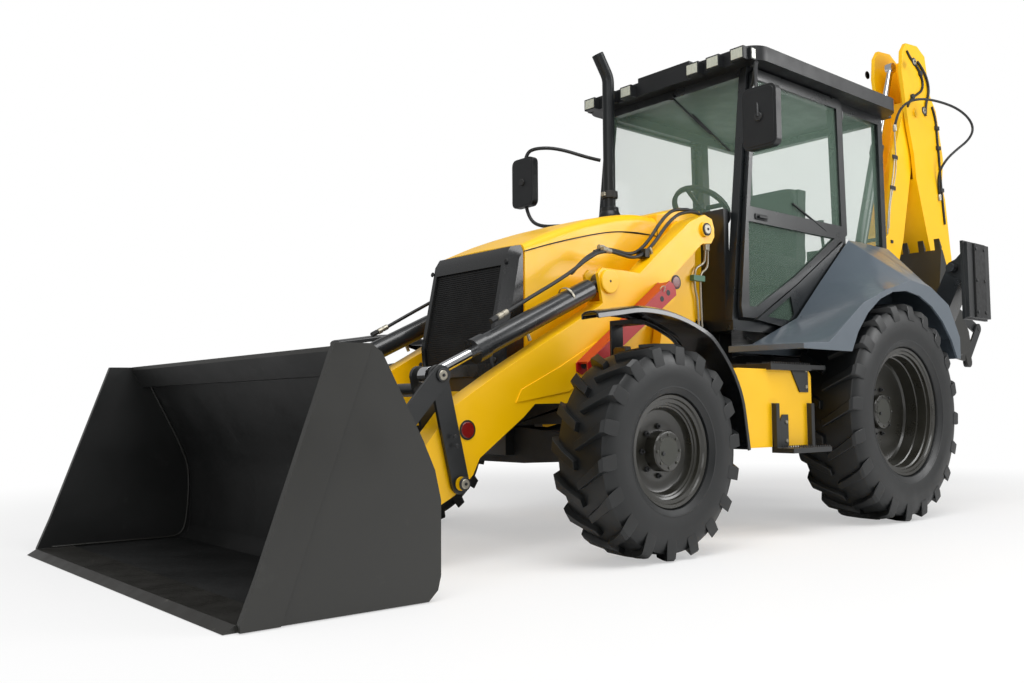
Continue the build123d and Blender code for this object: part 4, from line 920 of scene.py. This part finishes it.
cushion("seatCushion", (470, 470, 130), (-30, 0, 1650), 0)
cushion("seatBack", (560, 430, 120), (-262, 0, 1915), -82)
cabinParts = []
for y in (-120, 120):
    cabinParts.append(hose([[(735, y, 1790), (725, y, 1870), (700, y * 1.1, 1930)]], "lever", castIron))
    cabinParts.append((disc((700, y * 1.1, 1925), (-0.3, 0, 1), 17, 34, 8, 16), blackMoulding))
piece("cabControls", "chassis", cabinParts)

# Doors: handles and a grab bar inside
for side, sign in sides:
    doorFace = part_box("door_left")[1][1] * 1000 - 1
    grabBar = onSide([[(60, 598, 1800), (200, 598, 1850), (420, 598, 1925)]], sign)
    handle = [(boxBetween((700, 820), span(sign, doorFace, doorFace + 8), (1778, 1812)), blackMoulding),
              (boxBetween((715, 800), span(sign, doorFace + 6, doorFace + 22), (1786, 1802)), blackMoulding),
              hose(grabBar, "grabBar", blackMoulding)]
    piece(f"doorHandle_{side}", f"door_{side}", handle, bevel=3)

# Steps: toothed treads on black brackets at the tank
tooth = prismAcross([(-7, 0), (7, 0), (3, 11), (-3, 11)], -2, 2)
stepParts = []
for side, sign in sides:
    for y in (952, 1052):
        stepParts.append(repeated(tooth, 16, castIron, (832, sign * y, 465), (22, 0, 0)))
    for y in (700, 800, 900, 952):
        stepParts.append(repeated(tooth, 17, castIron, (850, sign * y, 909), (22, 0, 0)))
    for outline in (((842, 760), (842, 912), (1000, 912), (1000, 880), (920, 760)),
                    ((1040, 466), (1040, 640), (1090, 640), (1180, 520), (1180, 466))):
        stepParts.append((prismAcross(outline, *span(sign, 930, 938)), charcoalPaint))
    for x, z in ((862, 790), (862, 880), (1060, 600), (1060, 500)):
        stepParts.append((disc((x, sign * 938, z), (0, sign, 0), 11, 6, 2, 6), zincSteel))
piece("stepTreads", "chassis", stepParts)

# Exhaust: clamp and flare where the stack meets its base
stackParts = [(lathe([(46, -22), (52, -22), (52, 22), (46, 22)], (1120, -275, 2030), (0, 0, 1)), castIron),
              (lathe([(72, -40), (72, 10), (60, 40), (44, 52)], (1120, -275, 1880), (0, 0, 1)), heatedSteel),
              (boxBetween((1168, 1186), (-290, -260), (2018, 2042)), zincSteel)]
piece("stackClamp", "chassis", stackParts, bevel=2)

# Stabilizer pads: rubber leaves clamped between plates, with their bolts
leaf = prismAcross([(-77, -246), (77, -246), (77, 246), (-77, 246)], -5.5, 5.5)
for side, sign in sides:
    low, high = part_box("stabilizer_pad_" + side)
    middleX = (low[0] + high[0]) * 500 - rearAxleX
    padParts = [repeated(leaf, 3, padRubber, (middleX, sign * 1078, 1510), (0, sign * 13, 0))]
    for z in (1290, 1700):
        padParts.append((boxBetween((middleX - 78, middleX + 78), span(sign, 1040, 1053), (z, z + 26)),
                         charcoalPaint))
    nut = lathe([(11, 0), (11, -sign * 7), (9, -sign * 9)], steps=6)
    head = lathe([(12, 0), (12, sign * 6), (9, sign * 8)], steps=10)
    for x in (middleX - 58, middleX + 58):
        for shape, y, material in ((nut, 1052, zincSteel), (head, 1109, castIron)):
            padParts.append(repeated(shape, 3, material, (x, sign * y, 1300), (0, 0, 210)))
    piece(f"padLeaves_{side}", f"stabilizer_pad_{side}", padParts, bevel=2)
print("cab and steps dressed")

# Studio: white floor and backdrop, one broad lamp above and two soft ones at the sides
studio = {"floorSize": 60.0, "keyPower": 430, "fillPower": 110, "rimPower": 300, "worldStrength": 0.42}


def softLamp(name, place, target, size, power):
    lamp = bpy.data.lights.new(name, "AREA")
    lamp.shape = "RECTANGLE"
    lamp.size, lamp.size_y = size
    lamp.energy = power
    holder = addObject(name, lamp)
    holder.location = place
    holder.rotation_euler = (Vector(target) - Vector(place)).to_track_quat("-Z", "Y").to_euler()


softLamp("keyLamp", (2.5, 3.0, 7.5), (0.5, 0, 0.8), (6, 5), studio["keyPower"])
softLamp("frontLamp", (9.0, 3.5, 3.2), (1.0, 0, 1.2), (4, 4), studio["fillPower"])
softLamp("rearLamp", (-5.0, 6.5, 4.5), (-1.0, 0, 1.2), (4, 4), studio["rimPower"])


def mixShaders(tree, outputName, share, first, second):
    mixed = addNode(tree, "ShaderNodeMixShader", links={0: share, 1: first.outputs[0], 2: second.outputs[0]})
    tree.links.new(mixed.outputs[0], tree.nodes[outputName].inputs["Surface"])


world = bpy.data.worlds.new("studioWorld")
bpy.context.scene.world = world
world.use_nodes = True
worldTree = world.node_tree
background = worldTree.nodes["Background"]
background.inputs["Color"].default_value = (1, 1, 1, 1)
background.inputs["Strength"].default_value = studio["worldStrength"]
paleBackground = addNode(worldTree, "ShaderNodeBackground", {"Color": (1, 1, 1, 1), "Strength": 1.0})
rays = addNode(worldTree, "ShaderNodeLightPath").outputs["Is Camera Ray"]
mixShaders(worldTree, "World Output", rays, background, paleBackground)

floorMesh = bpy.data.meshes.new("studioFloor")
half = studio["floorSize"] / 2
floorCorners = [(-half, -half, 0), (half, -half, 0), (half, half, 0), (-half, half, 0)]
floorMesh.from_pydata(floorCorners, [], [(0, 1, 2, 3)])
floor = addObject("studioFloor", floorMesh)
floorPaint, floorTree, floorShader = newMaterial("palePaintedFloor")
floorShader.inputs["Base Color"].default_value = (0.92, 0.92, 0.92, 1)
floorShader.inputs["Roughness"].default_value = 0.55
# Seen straight on, the floor turns to the backdrop's white with distance from the machine
whiteSheet = addNode(floorTree, "ShaderNodeEmission", {"Color": (1, 1, 1, 1), "Strength": 1.0})
floorPlace = addNode(floorTree, "ShaderNodeTexCoord").outputs["Object"]
distance = addNode(floorTree, "ShaderNodeVectorMath", settings={"operation": "LENGTH"}, links={0: floorPlace})
fadeLimits = {"From Min": 2.5, "From Max": 6.5, "To Min": 0.45, "To Max": 1.0}
fade = addNode(floorTree, "ShaderNodeMapRange", fadeLimits, {"interpolation_type": "SMOOTHSTEP"},
               {"Value": distance.outputs["Value"]})
floorRays = addNode(floorTree, "ShaderNodeLightPath").outputs["Is Camera Ray"]
share = addNode(floorTree, "ShaderNodeMath", settings={"operation": "MULTIPLY"},
                links={0: fade.outputs["Result"], 1: floorRays})
mixShaders(floorTree, "Material Output", share.outputs[0], floorShader, whiteSheet)
floorMesh.materials.append(floorPaint)

# Camera low in front of the left wheel, level with the machine's axles
view = {"place": (4.9327, 3.8953, 0.6706), "yaw": 229.4029, "pitch": 4.095, "roll": -0.3387, "lens": 33.797}
cameraData = bpy.data.cameras.new("camera")
cameraData.sensor_width = 36
cameraData.lens = view["lens"]
cameraData.clip_end = 200
camera = addObject("camera", cameraData)
yaw, pitch, roll = (math.radians(view[key]) for key in ("yaw", "pitch", "roll"))
heading = Matrix.Rotation(yaw - math.pi / 2, 4, "Z") @ Matrix.Rotation(pitch + math.pi / 2, 4, "X")
camera.matrix_world = Matrix.Translation(view["place"]) @ heading @ Matrix.Rotation(roll, 4, "Z")
bpy.context.scene.camera = camera
bpy.context.scene.view_settings.view_transform = "Standard"
print("studio and camera set")
